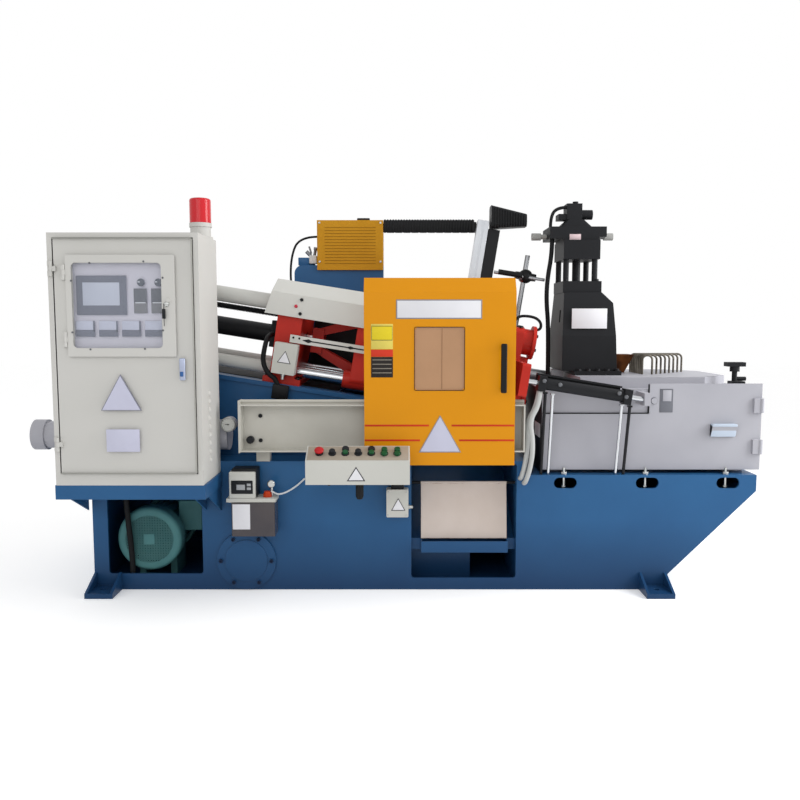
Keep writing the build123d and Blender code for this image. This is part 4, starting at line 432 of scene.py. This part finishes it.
# Furnace enamel: cool grey, baked and slightly chalky, brown where it has chipped.
furnace_paint = coated("furnace_enamel", "ABABB2", "9C9CA4", rough=0.46, chips=0.3, chip_code="6E655A")
dress(furnace_paint, "furnace_body", "furnace_front_panel", "furnace_lid", "oil_cooler")
GAUGE_X, GAUGE_Y, GAUGE_Z, MARK_RING = -688, -450, 769, 23
gauge = (GAUGE_X, GAUGE_Y, GAUGE_Z)
rim = [(-2, 0), (-2, 30), (6, 34), (10, 34), (12, 31), (8, 28), (7, 0)]
piece("gauge_rim", [turned(rim, gauge, FRONT, 32)], zinc)
# Enamelled dial: pale and even.
dial = coated("gauge_dial", "C9CAC6", "BCBDB9", rough=0.3)
piece("gauge_dial", [rod(gauge, FRONT, 28.5, 1, 32, start=7)], dial)
needle = [plate((GAUGE_X - 14, GAUGE_X + 6), (GAUGE_Z - 1, GAUGE_Z + 1), GAUGE_Y, 9.5, -8),
          rod(gauge, FRONT, 3, 2, 12, start=8)]
for k in range(11):
    a = math.radians(-45 + 27 * k)
    x, z = GAUGE_X - MARK_RING * math.cos(a), GAUGE_Z + MARK_RING * math.sin(a)
    needle.append(plate((x - 0.9, x + 0.9), (z - 0.9, z + 0.9), GAUGE_Y, 8.8, -7.5, 0.3))
piece("gauge_needle", needle, black_case)

# The guard: a cream channel beam bolted to the base, and a yellow sheet door that rolls along it. The door
# has a masked window in a rubber gasket, two red lines, a bare name plate, bare labels and a bar handle.

# Cream enamel on the beam, a little dusty.
beam_paint = coated("cream_enamel", "C4C2BA", "B2AFA5", rough=0.42, cloud=200)
dress(beam_paint, "guard_beam")
# Guard yellow: the strongest colour on the machine, smooth and even.
yellow = coated("yellow_enamel", "D98F08", "CE8608", rough=0.36, coat=0.05, cloud=700)
dress(yellow, "guard_door", "rear_guard")
BEAM_WEB = -462
beam_bolts = [cap_screw((x, BEAM_WEB, z), FRONT, 9) for x in (-540, 420) for z in (698, 810)]
piece("beam_bolts", beam_bolts, black_case)
buffer = turned([(0, 0), (0, 17), (22, 17), (26, 13), (26, 0)], (-585, BEAM_WEB, 702), FRONT)
piece("beam_stop", [buffer], black_case)

door_low, door_high = (c * 1000 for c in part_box("guard_door"))
GUARD = -540
# Printed goods on the door: white film, its grey border line and the red stripes.
sticker = coated("bare_plate_white", "E4E4E8", "D6D6DC", rough=0.35, cloud=200)
grey_line = coated("grey_line", "8D9096", "7D8086", rough=0.4)
red_stripe = coated("red_line", "C6361A", "B02E16", rough=0.4)
piece("door_plate_edge", [plate((73, 448), (1244, 1328), GUARD)], grey_line, "guard_door")
piece("door_plate", [plate((78, 443), (1249, 1323), GUARD, 1.6, -0.6)], sticker, "guard_door")
stripes = []
for z, left_end, right_start in ((775, 218, 318), (709, 179, 352)):
    for x in ((door_low.x + 3, left_end), (right_start, door_high.x - 3)):
        stripes.append(plate(x, (z - 4, z + 4), GUARD, 0.8, 0.2, 0.3))
piece("door_lines", stripes, red_stripe, "guard_door")
bare_sign("door_triangle", (267, 655, 94, 166, GUARD, 1), (267, 659, 87, 155, GUARD - 0.8, 0.8),
          grey_line, silver, "guard_door")
# The label's printed fields, each one flat colour of ink on film.
labels = {"cream": ("DCCB62", (-37, 59), (1112, 1222), 0.6), "edge": ("6A6430", (-35, 57), (1150, 1214), 0.9),
          "yellow": ("DDC82C", (-33, 55), (1153, 1211), 1.2), "red": ("CC3A26", (-37, 59), (1079, 1110), 0.9),
          "black": ("262220", (-37, 59), (988, 1078), 0.9)}
for word, (code, x, z, thick) in labels.items():
    ink = coated("label_" + word, code, code, rough=0.4)
    piece("door_label_" + word, [plate(x, z, GUARD, thick, r=0.2)], ink, "guard_door")
# Ruled lines on the label's black field, in faded ink.
faded_ink = coated("label_rule", "8A8478", "7A7468", rough=0.4)
rules = [plate((-31, 53), (z - 2, z + 2), GUARD, 1.2, r=0.3) for z in (1008, 1027, 1046, 1065)]
piece("door_label_rules", rules, faded_ink, "guard_door")


def frame_strip(x, z, width, y, r):
    """A flat band round an opening: the same round-cornered outline twice, the outer `width` larger."""
    t = np.linspace(0, np.pi / 2, 5)
    corners = [((x[1] - r, z[1] - r), t), ((x[0] + r, z[1] - r), t + np.pi / 2),
               ((x[0] + r, z[0] + r), t + np.pi), ((x[1] - r, z[0] + r), t + 1.5 * np.pi)]
    rows = []
    for size, depth in ((r, y[1]), (r, y[0]), (r + width, y[0]), (r + width, y[1]), (r, y[1])):
        arcs = [np.stack([c[0] + size * np.cos(a), np.full(5, depth), c[1] + size * np.sin(a)], -1)
                for c, a in corners]
        rows.append(np.concatenate(arcs))
    return np.concatenate(rows), quads(5, 20, True)


WINDOW_X, WINDOW_Z = (155, 372), (932, 1207)
# Black rubber: dull, slightly grainy.
rubber = coated("black_rubber", "1A1B1D", "101112", rough=0.6, skin=2)
piece("door_gasket", [frame_strip(WINDOW_X, WINDOW_Z, 2.5, (GUARD - 1.5, GUARD + 1), 4)], rubber,
      "guard_door")
# The masked pane: brown paper behind a glossy clear sheet, with a seam down its middle.
masked = coated("masked_pane", "B58C6A", "AB8463", rough=0.35, coat=0.2, cloud=180, mix=0.8)
dress(masked, "door_window")
seam_brown = coated("seam_brown", "8C6A4E", "80604A", rough=0.5)
piece("pane_seam", [block((273.2, 275.2), (-538.2, -536.8), (936, 1203), 0.3)], seam_brown,
      "guard_door")
# Black nylon: a little shinier than the rubber.
plastic = coated("black_nylon", "17181A", "0D0D0F", rough=0.42)
dress(plastic, "door_handle", "cable_chain")

# The operator's box: a folded sheet case on two arms, with a brushed plate on its slope that holds seven
# push buttons. A junction box hangs under it and a black plug grip comes out of its floor.

# Box enamel: a paler, cooler cream than the beam's.
box_paint = coated("box_enamel", "C8C8C2", "BEBEB7", rough=0.45)
dress(box_paint, "control_boxes")
SLOPE_MIDDLE = (-665, 671)
slope = math.atan2(50, 90)
slope_out = np.array([0, -math.sin(slope), math.cos(slope)])
slope_up = np.array([0, math.cos(slope), math.sin(slope)])


def on_slope(x, up, out):
    """A place on the sloping lid: x along it, up from its middle line, out from its face."""
    return np.array([x, *SLOPE_MIDDLE]) + slope_up * up + slope_out * out


lid_points, lid_faces = block((-305, 126), (-47, 47), (0, 1.5), 0.5)
lid_plate = np.array([on_slope(x, y, z) for x, y, z in lid_points])
# Brushed and lacquered plate: warm grey, softly metallic.
brushed = coated("brushed_plate", "A59A8C", "9A9082", rough=0.45, metal=0.1, cloud=60)
piece("button_plate", [(lid_plate, lid_faces)], brushed)
BUTTONS_LEFT, BUTTON_PITCH = -255, 55.6
bezel_side = [(0, 0), (0, 17), (5, 17), (7, 15), (7, 0)]
mushroom_side = [(6, 0), (6, 8), (14, 8), (15, 19), (22, 20), (26, 17), (28, 10), (28, 0)]
selector_side = [(6, 0), (6, 13), (20, 13), (23, 10), (23, 0)]
bezels, reds, greens, blacks = [], [], [], []
for k in range(7):
    x = BUTTONS_LEFT + BUTTON_PITCH * k
    seat = on_slope(x, -4, 0)
    bezels.append(turned(bezel_side, seat, slope_out))
    if k == 0:
        reds.append(turned(mushroom_side, seat, slope_out, 32))
    elif k in (1, 3):
        blacks.append(turned(selector_side, seat, slope_out))
    elif k in (2, 4):
        greens.append(turned([(6, 0), (6, 12), (14, 12), (16, 10), (16, 0)], seat, slope_out))
        blacks.append(turned([(0, 0), (0, 15), (11, 15), (14, 13), (14, 0)], on_slope(x, 22, 0), slope_out))
    else:
        greens.append(turned([(6, 0), (6, 13), (15, 13), (17, 11), (17, 0)], on_slope(x, -13, 0), slope_out))
        greens.append(turned([(0, 0), (0, 13), (15, 13), (17, 11), (17, 0)], on_slope(x, 15, 0), slope_out))
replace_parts(piece("button_bezels", bezels, black_case), "push_buttons")
# Button caps: moulded red and green, glossier than the case.
red_cap = coated("red_button", "B8262A", "97191F", rough=0.3)
green_cap = coated("green_button", "1A5230", "133F24", rough=0.3)
piece("button_red", reds, red_cap)
piece("button_greens", greens, green_cap)
piece("button_blacks", blacks, black_case)
bare_sign("box_triangle", (-96, 559, 39, 62, -710, 0.8), (-96, 563, 32, 51, -710.6, 0.6), outline, film)
grip = turned([(0, 0), (0, 16), (12, 17), (60, 17), (72, 12), (76, 0)], (-84, -655, 543), DOWN)
piece("box_grip", [grip, rod((-215, -665, 543), DOWN, 6, 12, 12)], plastic)
JUNCTION = -510
bare_sign("junction_triangle", (82, 385, 32, 57, JUNCTION, 0.8), (82, 388, 27, 49, JUNCTION - 0.6, 0.6),
          outline, film)
glands = [turned([(0, 0), (0, 10), (8, 10), (8, 8), (20, 8), (20, 0)], (128, -480, 395), RIGHT, 12)]
glands += [cap_screw((x, JUNCTION, z), FRONT, 4) for x in (38, 119) for z in (364, 470)]
piece("junction_screws", glands, zinc)
piece("junction_neck", [block((50, 108), (-500, -455), (479, 500), 4)], black_case)

# The lubricator: a smoked acrylic tank under a cream lid, with a timer head, a dial and a filler cap. The
# tank hangs on two screws, and the head is screwed down on the lid.

# Smoked acrylic: dark, glossy, a little uneven where oil stands behind it.
smoked = coated("smoked_acrylic", "4A4446", "36343C", rough=0.14, coat=0.4, cloud=120)
dress(smoked, "lube_reservoir")
lube_lo, lube_hi = (c * 1000 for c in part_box("lube_head"))
lube_y = (lube_lo.y, lube_hi.y)
lid_edge = block((lube_lo.x + 10, lube_hi.x - 10), (lube_lo.y + 5, lube_hi.y), (429, 433), 2)
lid = piece("lube_lid", [block((lube_lo.x, lube_hi.x), lube_y, (431, 449), 3), lid_edge], box_paint)
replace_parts(lid, "lube_head")
TIMER_X, LID_TOP = (-670, -553), 449
piece("timer_case", [block(TIMER_X, lube_y, (LID_TOP, 568), 5, 3)], box_paint)
cowl_y = (lube_lo.y + 14, lube_hi.y)
piece("timer_cowl", [block((TIMER_X[0] + 8, TIMER_X[1] + 5), cowl_y, (452, 580), 6, 3)], black_case)
piece("timer_panel", [plate((-660, -564), (470, 530), lube_lo.y, 2, 1, 2)], black_case)
# Pale keys and screen of the timer, rubbed matt.
grey_keys = coated("grey_keys", "A9ABAE", "95979A", rough=0.4)
piece("timer_screen", [plate((-636, -598), (488, 512), lube_lo.y, 3, -1, 1),
                       plate((-590, -572), (505, 517), lube_lo.y, 4, -1, 1.5),
                       plate((-590, -572), (488, 500), lube_lo.y, 4, -1, 1.5)], grey_keys)
piece("lube_label", [block((-656, -578), (-551, -549.5), (309, 423), 0.4)], sticker)
# Orange filler cap: moulded, slightly faded.
orange = coated("orange_cap", "C8421E", "B03718", rough=0.35)
cap_side = [(0, 0), (0, 20), (14, 20), (16, 17), (26, 14), (26, 0)]
piece("filler_cap", [turned(cap_side, (-505, -510, LID_TOP), UP, 12)], orange)
dial_side = [(0, 0), (0, 14), (3, 17), (14, 17), (18, 13), (18, 0)]
lube_gauge = [turned(dial_side, (-488, -505, 508), FRONT, 24), rod((-488, -498, LID_TOP), UP, 6, 46, 12)]
piece("lube_gauge", lube_gauge, zinc)

# The clamp unit: red cast platens on four chromed tie bars, tilted nine degrees down to the right, with a
# black cylinder between cream sleeves at the left. A folded cover and a printed travel scale face the front.

# Casting enamel: strong red, orange-peel gloss, chipped to a brown primer on its corners.
red = coated("red_enamel", "C42C1E", "9A2018", rough=0.38, coat=0.1, chips=0.3, chip_code="6F3A2E")
dress(red, "rear_platen", "fixed_platen", "moving_platen")
# Hard chrome on the bars and the ram: a mirror, drawn out along the round.
chrome = coated("hard_chrome", "C9CBCE", "A8ABAF", rough=0.16, metal=1.0, relief=0.03)
dress(chrome, "tie_bars", "clamp_ram", "docking_rods")
# Black enamel: nearly black, with worn steel at the corners.
black = coated("black_enamel", "1E1F22", "151618", rough=0.42, coat=0.03, chips=0.4, chip_code="4D4D50")
dress(black, "clamp_cylinder", "docking_cylinder", "spray_mast", "lever_post")
# Cover enamel: the palest sheet on the machine.
cover_paint = coated("cover_enamel", "CFCFCA", "C3C3BD", rough=0.42)
dress(cover_paint, "clamp_cover", "travel_scale", "bar_sleeves")
INCLINE = math.radians(9)
AXIS_Z = 1088


def tilted(*shapes):
    """Shapes given along the clamp axis, across it and up from it, turned into the frame."""
    out = []
    for points, faces in shapes:
        u, v, w = points.T
        x = u * math.cos(INCLINE) + w * math.sin(INCLINE)
        z = AXIS_Z - u * math.sin(INCLINE) + w * math.cos(INCLINE)
        out.append((np.stack([x, v, z], -1), faces))
    return out


COVER_V = -292
cover_screws = [cap_screw((-402, COVER_V, 185), FRONT, 8), cap_screw((-400, COVER_V, 120), FRONT, 8)]
piece("cover_screws", tilted(*cover_screws), black_case)
pilot = turned([(0, 0), (0, 8), (4, 8), (6, 6), (6, 0)], (-424, COVER_V, 152), FRONT)
# A red pilot lens: glossy and deep.
red_lens = coated("red_lens", "C01F3A", "9F182F", rough=0.2, coat=0.4)
piece("cover_pilot", tilted(pilot), red_lens)
ARROW_V, ARROW_FLATNESS = -300.5, 0.08
scale_marks = [block((-366, -62), (-301, -299.6), (-3, 3), 0.4)]
for tip_side, u, way in (([(0, 0), (30, 13), (52, 0)], -372, 1), ([(0, 0), (26, 11), (46, 0)], -118, -1)):
    points, faces = turned(tip_side, (u, ARROW_V, 0), (way, 0, 0), 4, math.pi / 4)
    points[:, 1] = ARROW_V + (points[:, 1] - ARROW_V) * ARROW_FLATNESS
    scale_marks.append((points, faces))
piece("scale_marks", tilted(*scale_marks), black_case)
scale_screws = [cap_screw((-414, -300, 6), FRONT, 5), cap_screw((-386, -300, 6), FRONT, 5)]
piece("scale_screws", tilted(*scale_screws), black_case)
SWITCH_U, SWITCH_V = -438, -328
switch_edge = triangle(SWITCH_U, -118, 32, 58, SWITCH_V, 0.8)
switch_face = triangle(SWITCH_U, -115, 27, 50, SWITCH_V - 0.6, 0.6)
piece("switch_triangle_edge", tilted(switch_edge), outline)
piece("switch_triangle", tilted(switch_face), film)
gland_side = [(0, 0), (0, 11), (10, 11), (10, 8), (26, 8), (26, 0)]
switch_gland = turned(gland_side, (SWITCH_U, -300, -170), DOWN, 12)
piece("switch_gland", tilted(switch_gland), zinc)
BED_LINER_W = -219.5
# A black sheet along the bed behind the clamp unit: painted shade that darkens the space behind the bars.
piece("back_shade_sheet", tilted(block((-384, 60), (262, 266), (BED_LINER_W, 128), 1)), black)
CONDUIT_START, CONDUIT_LENGTH, RIB_PITCH = -1088, 580, 3.5
CREST_R, ROOT_R = 15, 11
waves = [(RIB_PITCH * i, CREST_R if i % 2 else ROOT_R) for i in range(166)]
ribs = [(0, 0), *waves, (CONDUIT_LENGTH, 0)]
corrugated = turned(ribs, (CONDUIT_START, -214, 102), RIGHT, 12)
piece("corrugated_conduit", tilted(corrugated), plastic)
liner = block((-1100, -175), (-186, 186), (BED_LINER_W, -217), 0.5)
piece("deck_liner", tilted(liner), rubber)
TIE_BAR_V, TIE_BAR_W, FLANGE_U, FLANGE_RING = 200, 156, 715, 66
flange_bolts = []
for v in (-TIE_BAR_V, TIE_BAR_V):
    for w in (-TIE_BAR_W, TIE_BAR_W):
        for k in range(6):
            a = math.radians(60 * k + 30)
            place = (FLANGE_U, v + FLANGE_RING * math.cos(a), w + FLANGE_RING * math.sin(a))
            flange_bolts.append(cap_screw(place, RIGHT, 8))
piece("flange_bolts", tilted(*flange_bolts), black_case)
platen_bolts = []
for v in (-245, -150, 150, 245):
    for u in (-375, -518):
        platen_bolts += hex_bolt((u, v, -194), UP, 12)
    platen_bolts += hex_bolt((637, v, 220), UP, 10)
piece("platen_bolts", tilted(*platen_bolts), black_case)

# The hoses, each held at both of its ends by a screwed fitting: rubber over braid for the oil between valve
# blocks, clamp cylinder and pump, grey nylon conduit round the heater wires and a white nylon oil line.


def hose(name, route, diameter, material):
    """A smooth hose: a NURBS spline of order 3 whose control points are the route's, in millimetres."""
    data = bpy.data.curves.new(name, "CURVE")
    data.dimensions = "3D"
    data.bevel_depth = diameter / 2000
    data.bevel_resolution = 3
    data.resolution_u = 10
    data.use_fill_caps = True
    data.materials.append(material)
    spline = data.splines.new("NURBS")
    spline.points.add(len(route) - 1)
    for point, place in zip(spline.points, route):
        point.co = (place[0] / 1000, place[1] / 1000, place[2] / 1000, 1.0)
    spline.order_u = 3
    spline.use_endpoint_u = True
    obj = bpy.data.objects.new(name, data)
    bpy.context.collection.objects.link(obj)
    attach(obj, "machine")
    return obj


# Grey nylon conduit, dusty, and a white nylon line, smoother.
conduit = coated("grey_conduit", "BFC1BF", "AFB1AF", rough=0.45)
nylon = coated("white_nylon", "D8DADC", "CCCED0", rough=0.35)
platen_route = np.array([(610, -163, 220), (610, -163, 272), (700, -163, 284), (743, -163, 260),
                         (743, -163, 220), (715, -163, 220)], float)
platen_route = tilted((platen_route, []))[0][0].tolist()
# Each hose's length in metres, its diameter in millimetres and its route.
rubber_hoses = {
    "clamp_hose": (0.455, 24, [(-538, -66, 1173), (-538, -227, 1173), (-544, -303, 1111), (-554, -303, 1048),
                               (-532, -303, 992), (-488, -303, 962), (-485, -303, 925)]),
    "valve_hose": (0.149, 16, [(834, -30, 1694), (834, -30, 1756), (870, -30, 1794), (912, -30, 1794)]),
    "fall_hose": (0.713, 22, [(838, -60, 1636), (838, -60, 1566), (818, -60, 1446), (814, -60, 1336),
                              (828, -60, 1206), (828, -60, 925)]),
    "platen_hose": (0.229, 14, platen_route),
    "pump_hose": (0.483, 26, [(-1176, -415, 494), (-1176, -415, 430), (-1168, -415, 300), (-1153, -415, 140),
                              (-1153, -415, 12)])}
for name, (length, diameter, route) in rubber_hoses.items():
    hose(name, route, diameter, rubber)
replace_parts(bpy.data.objects["clamp_hose"], "hydraulic_hoses")
piece("hose_plug", tilted(block((-475, -400), (-325, -290), (-290, -222), 4)), plastic)
hood_route = [(-478, 330, 1400), (-502, 330, 1400), (-502, 330, 1577), (-454, 330, 1690), (-354, 330, 1690)]
hose("hood_lead", hood_route, 12, rubber)
conduits = {
    "front_conduit": (0.46, 22, [(710, -522, 925), (706, -522, 862), (666, -522, 800), (684, -520, 690),
                                 (676, -512, 590), (656, -480, 500), (656, -450, 500)]),
    "back_conduit": (0.432, 22, [(710, -495, 925), (700, -495, 856), (660, -495, 790), (663, -495, 690),
                                 (655, -492, 600), (638, -478, 522), (638, -450, 522)])}
for name, (length, diameter, route) in conduits.items():
    hose(name, route, diameter, conduit)
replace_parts(bpy.data.objects["front_conduit"], "wire_conduits")
oil_route = [(-488, -518, 478), (-468, -516, 462), (-440, -500, 459), (-400, -480, 476), (-360, -462, 505),
             (-345, -451, 520)]
hose("oil_line", oil_route, 8, nylon)

# The spray unit: a black steel mast, a slotted aluminium profile beside it and a nylon cable chain from the
# hood. A grey rod with a clamp and cross rod stands beside it.

# Anodised aluminium: pale, silky, brighter than the steel.
anodised = coated("anodised_aluminium", "C9CCD0", "B2B5BA", rough=0.34, metal=1.0)
dress(anodised, "spray_arm")
# Ground steel: mid grey, soft highlights.
steel = coated("bright_steel", "A4A6A9", "77797C", rough=0.36, metal=1.0)
dress(steel, "mounting_plate", "door_rollers", "nozzle", "rod_stand")

LINK_PITCH, NOSE_PITCH, NOSE_X = 14.6, 13, 556
chain_ribs = [block((2, 486), (288, 291), (1708, 1774), 1)]
for k in range(33):
    x = LINK_PITCH * k
    chain_ribs.append(block((6 + x, 14 + x), (285, 290), (1706, 1777), 1.5))
for k in range(12):
    x = NOSE_X + NOSE_PITCH * k
    nose_z = (1694 + 0.06 * (x - NOSE_X), 1794 - 0.24 * (x - NOSE_X))
    chain_ribs.append(block((x, x + 6), (-54, -50), nose_z, 1))
piece("chain_ribs", chain_ribs, plastic)

clamp_at = np.array([718.0, 0.0, 1459.0])
sleeve_at = clamp_at + (0.0, -24.0, 0.0)
cross_way = np.array([-0.9877, 0.0, 0.1564])
ball = [(-35, 0), (-32, 15), (-23, 27), (-11, 35), (11, 35), (23, 27), (32, 15), (35, 0)]
collar = [(-52, 0), (-52, 18), (-22, 20), (22, 20), (52, 18), (52, 0)]
piece("rod_clamp", [turned(ball, clamp_at, BACK), turned(collar, clamp_at, cross_way),
                    rod(sleeve_at, cross_way, 13.5, 120, 16, start=20)], plastic)

# The oil tank behind the clamp unit, welded and sprayed blue, with an ochre sheet hood that has pressed
# louvres, four screws and a breather at its left.

# Ochre enamel: duller and browner than the guard's yellow.
ochre = coated("ochre_enamel", "C68E14", "BA8210", rough=0.42, cloud=120)
dress(ochre, "tank_hood")
hood_lo, hood_hi = (c * 1000 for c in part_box("tank_hood"))
LOUVRES_LOW, LOUVRE_PITCH, LOUVRE_HALF = 1545, 15.8, 1.6
louvres = []
for k in range(13):
    z = LOUVRES_LOW + LOUVRE_PITCH * k
    louvres.append(plate((-312, -40), (z - LOUVRE_HALF, z + LOUVRE_HALF), hood_lo.y, 1.6, 1, 0.7))
# The same ochre in the shade of the pressed slots.
louvre_shadow = coated("louvre_shadow", "A17212", "946810", rough=0.5)
piece("hood_louvres", louvres, louvre_shadow)
piece("hood_grip", [block((-140, -72), (300, 330), (1772, 1786), 4, 3)], black_case)
hood_screws = [cap_screw((x, hood_lo.y, z), FRONT, 6) for x in (hood_lo.x + 14, hood_hi.x - 14)
               for z in (hood_lo.z + 44, hood_hi.z - 14)]
piece("hood_screws", hood_screws, zinc)
piece("filler_box", [block((-458, -400), (308, 352), (1536, 1578), 3)], blue)
# White moulded breather, slightly yellowed.
breather_white = coated("breather_white", "DADAD6", "CFCFCA", rough=0.4)
piece("breather_box", [block((-399, -358), (306, 356), (1545, 1590), 5, 3)], breather_white)
valve_side = [(0, 0), (0, 8), (30, 8), (34, 11), (46, 11), (46, 0)]
fittings = [rod((-392, 330, 1588), (-0.7, -0.1, 0.7), 10, 34, 12),
            turned(valve_side, (-372, 326, 1588), (0.2, -0.3, 0.9), 12),
            rod((-388, 326, 1600), (-0.3, -0.2, 0.95), 5, 40, 8)]
# Nickel fittings gone dull.
dull_fittings = coated("dull_fittings", "8F9296", "6F7276", rough=0.45, metal=0.8)
piece("breather_fittings", fittings, dull_fittings)

# The furnace: folded sheet panels over brick, with a raised lid. Heater hoops and a rusty ingot hopper stand
# on the lid, and the front panel has a latch, a recess, a pull box and two hinges.

# Heat-scaled steel: brown-grey, blotched, half metallic.
scaled = coated("scaled_steel", "6B665D", "3A342C", rough=0.5, metal=0.7, cloud=60, mix=0.9)
dress(scaled, "heater_hoops")
# Rust: deep brown, rough, with a coarse grain.
rust = coated("rust", "6A3D1C", "3B1F10", rough=0.85, cloud=40, mix=1.0, skin=8, relief=0.6)
dress(rust, "ingot_hopper")
# The recess and the latch: a darker grey that reads as shade.
shade_grey = coated("recess_grey", "6E7077", "5B5D64", rough=0.5)
PANEL_FACE = -410
piece("furnace_recess", [plate((1277, 1337), (819, 927), PANEL_FACE, 1, 1, 2)], shade_grey)
piece("recess_tongue", [plate((1290, 1330), (870, 922), PANEL_FACE, 3, 0, 2)], furnace_paint)
latch_side = [(0, 0), (0, 16), (5, 15), (5, 11), (3, 10), (3, 0)]
piece("furnace_latch", [turned(latch_side, (1252, PANEL_FACE, 872), FRONT)], shade_grey)
PULL_Z, PULL_DEPTH = (708, 768), 36
points, faces = plate((1511, 1625), PULL_Z, PANEL_FACE, PULL_DEPTH, 0, 4, 3)
share = (points[:, 2] - PULL_Z[0]) / (PULL_Z[1] - PULL_Z[0])
points[:, 1] = PANEL_FACE + (points[:, 1] - PANEL_FACE) * (0.35 + 0.65 * share)
# The pull: pale bluish plastic.
pale_blue = coated("pale_blue_plastic", "BFCBDA", "B0BDCE", rough=0.35)
piece("furnace_pull", [(points, faces)], pale_blue)
# A black sheet on the furnace's left side, seen as a dark strip at the panel's edge: painted shade.
piece("furnace_side_shade", [block((737, 742), (-400, 380), (540, 922), 1)], black)
piece("side_plate", [block((735, 738), (-385, -240), (698, 762), 0.5)], film)
eye_side = [(0, 0), (0, 9), (6, 9), (8, 7), (8, 0)]
eyes_at = ((724, 973), (794, 956), (1055, 918), (1086, 902))
eyes = [turned(eye_side, (x, -542, z), FRONT, 16) for x, z in eyes_at]
# Oiled dark steel of the stay bolts.
dark_steel = coated("dark_steel", "6A6C70", "55575B", rough=0.45, metal=0.7)
piece("stay_eyes", eyes, dark_steel)
# A black rubber strip along the front panel's step and up its edge: painted shadow for the shade in the gap
# over the step.
step_shadow_y = (PANEL_FACE + 1, PANEL_FACE + 8)
step_shadow = [block((745, 1228), step_shadow_y, (812, 817), 0.8), block((1225, 1230.5), step_shadow_y, (817, 948), 0.8)]
piece("panel_step_shadow", step_shadow, rubber)

# The shot unit: a black cast bracket over the pot, bolted down, and on its rods the cylinder with grey end
# knobs and a solenoid valve on top.

# Black paint on a sand casting: dull, with the casting's own skin showing through.
cast_black = coated("black_casting", "1D1E21", "141517", rough=0.5, skin=6, relief=0.3, chips=0.3,
                    chip_code="4A4B4E")
dress(cast_black, "shot_bracket", "shot_cylinder")
# Grey nylon knobs: warm grey, dusty.
grey_nylon = coated("grey_nylon", "A9A9A6", "8E8E8B", rough=0.45)
dress(grey_nylon, "shot_knobs")
piece("shot_plate", [block((919, 1089), (-171.5, -169.5), (1200, 1296), 0.4)], sticker)
BRACKET_BOLTS_LEFT, BRACKET_PITCH, FLANGE_TOP, BRACKET_TOP = 955, 46, 995, 1430
foot_bolts = []
for k in range(5):
    for y in (-182, 182):
        foot_bolts += hex_bolt((BRACKET_BOLTS_LEFT + BRACKET_PITCH * k, y, FLANGE_TOP), UP, 13)
for x in (900, 1050):
    for y in (-100, 100):
        foot_bolts += hex_bolt((x, y, BRACKET_TOP), UP, 13)
piece("shot_bolts", foot_bolts, cast_black)
# A small bare tag, pinkish with age.
tag_film = coated("bare_tag", "D9C3C6", "C9B1B5", rough=0.4)
piece("shot_tag", [block((915, 970), (-101.5, -99.5), (1630, 1657), 0.4)], tag_film)

# Stage, soft studio light and the camera of the photograph. The paper under the machine and the backdrop look
# white where the camera or a reflection sees them, and give the object no more light for that.


def background_rays(mat, plain, seen):
    """A strength that is `seen` for camera, glossy and transmission rays and `plain` for the light itself."""
    ray = add(mat, "LightPath").outputs
    glassy = {0: ray["Is Glossy Ray"], 1: ray["Is Transmission Ray"]}
    either = {0: ray["Is Camera Ray"], 1: add(mat, "Math", glassy, operation="MAXIMUM").outputs[0]}
    any_ray = add(mat, "Math", either, operation="MAXIMUM").outputs[0]
    return add(mat, "MapRange", {"Value": any_ray, "To Min": plain, "To Max": seen}).outputs[0]


bpy.ops.mesh.primitive_plane_add(size=40, location=(0, 0, -0.0005))
floor = bpy.context.object
floor.name = "floor"
# White backdrop paper: matt, it takes the machine's soft shadow.
paper = coated("floor_paper", "F6F6F6", "F6F6F6", rough=0.9, mix=0.0, relief=0.0)
sheet_shader = paper.node_tree.nodes["Principled BSDF"]
sheet_shader.inputs["Emission Color"].default_value = srgb("FFFFFF")
paper.node_tree.links.new(background_rays(paper, 0.0, 0.3), sheet_shader.inputs["Emission Strength"])
floor.data.materials.append(paper)

world = bpy.data.worlds.new("studio")
bpy.context.scene.world = world
world.use_nodes = True
backdrop = world.node_tree.nodes["Background"]
backdrop.inputs["Color"].default_value = srgb("FFFFFF")
world.node_tree.links.new(background_rays(world, 0.74, 1.0), backdrop.inputs["Strength"])


def softbox(name, place, aim, width, height, power):
    """A rectangular area light that faces a point."""
    light = bpy.data.lights.new(name, "AREA")
    light.shape = "RECTANGLE"
    light.size = width
    light.size_y = height
    light.energy = power
    holder = bpy.data.objects.new(name, light)
    holder.location = place
    holder.rotation_euler = (Vector(aim) - Vector(place)).to_track_quat("-Z", "Y").to_euler()
    bpy.context.collection.objects.link(holder)


softbox("key", (-1.4, -5.2, 3.2), (-0.4, 0, 0.8), 4.0, 2.5, 44)
softbox("right", (3.6, -0.9, 2.2), (-0.7, -0.6, 1.1), 2.0, 2.5, 110)

PHOTO_EYE = (0.090, -4.050, 1.222)
PHOTO_PITCH = math.radians(5.43)
camera_data = bpy.data.cameras.new("photo_camera")
camera_data.sensor_width = 36
camera_data.lens = 36
camera = bpy.data.objects.new("photo_camera", camera_data)
camera.location = PHOTO_EYE
camera.rotation_euler = (math.pi / 2 - PHOTO_PITCH, 0, 0)
bpy.context.collection.objects.link(camera)
bpy.context.scene.camera = camera
bpy.context.scene.view_settings.view_transform = "Standard"
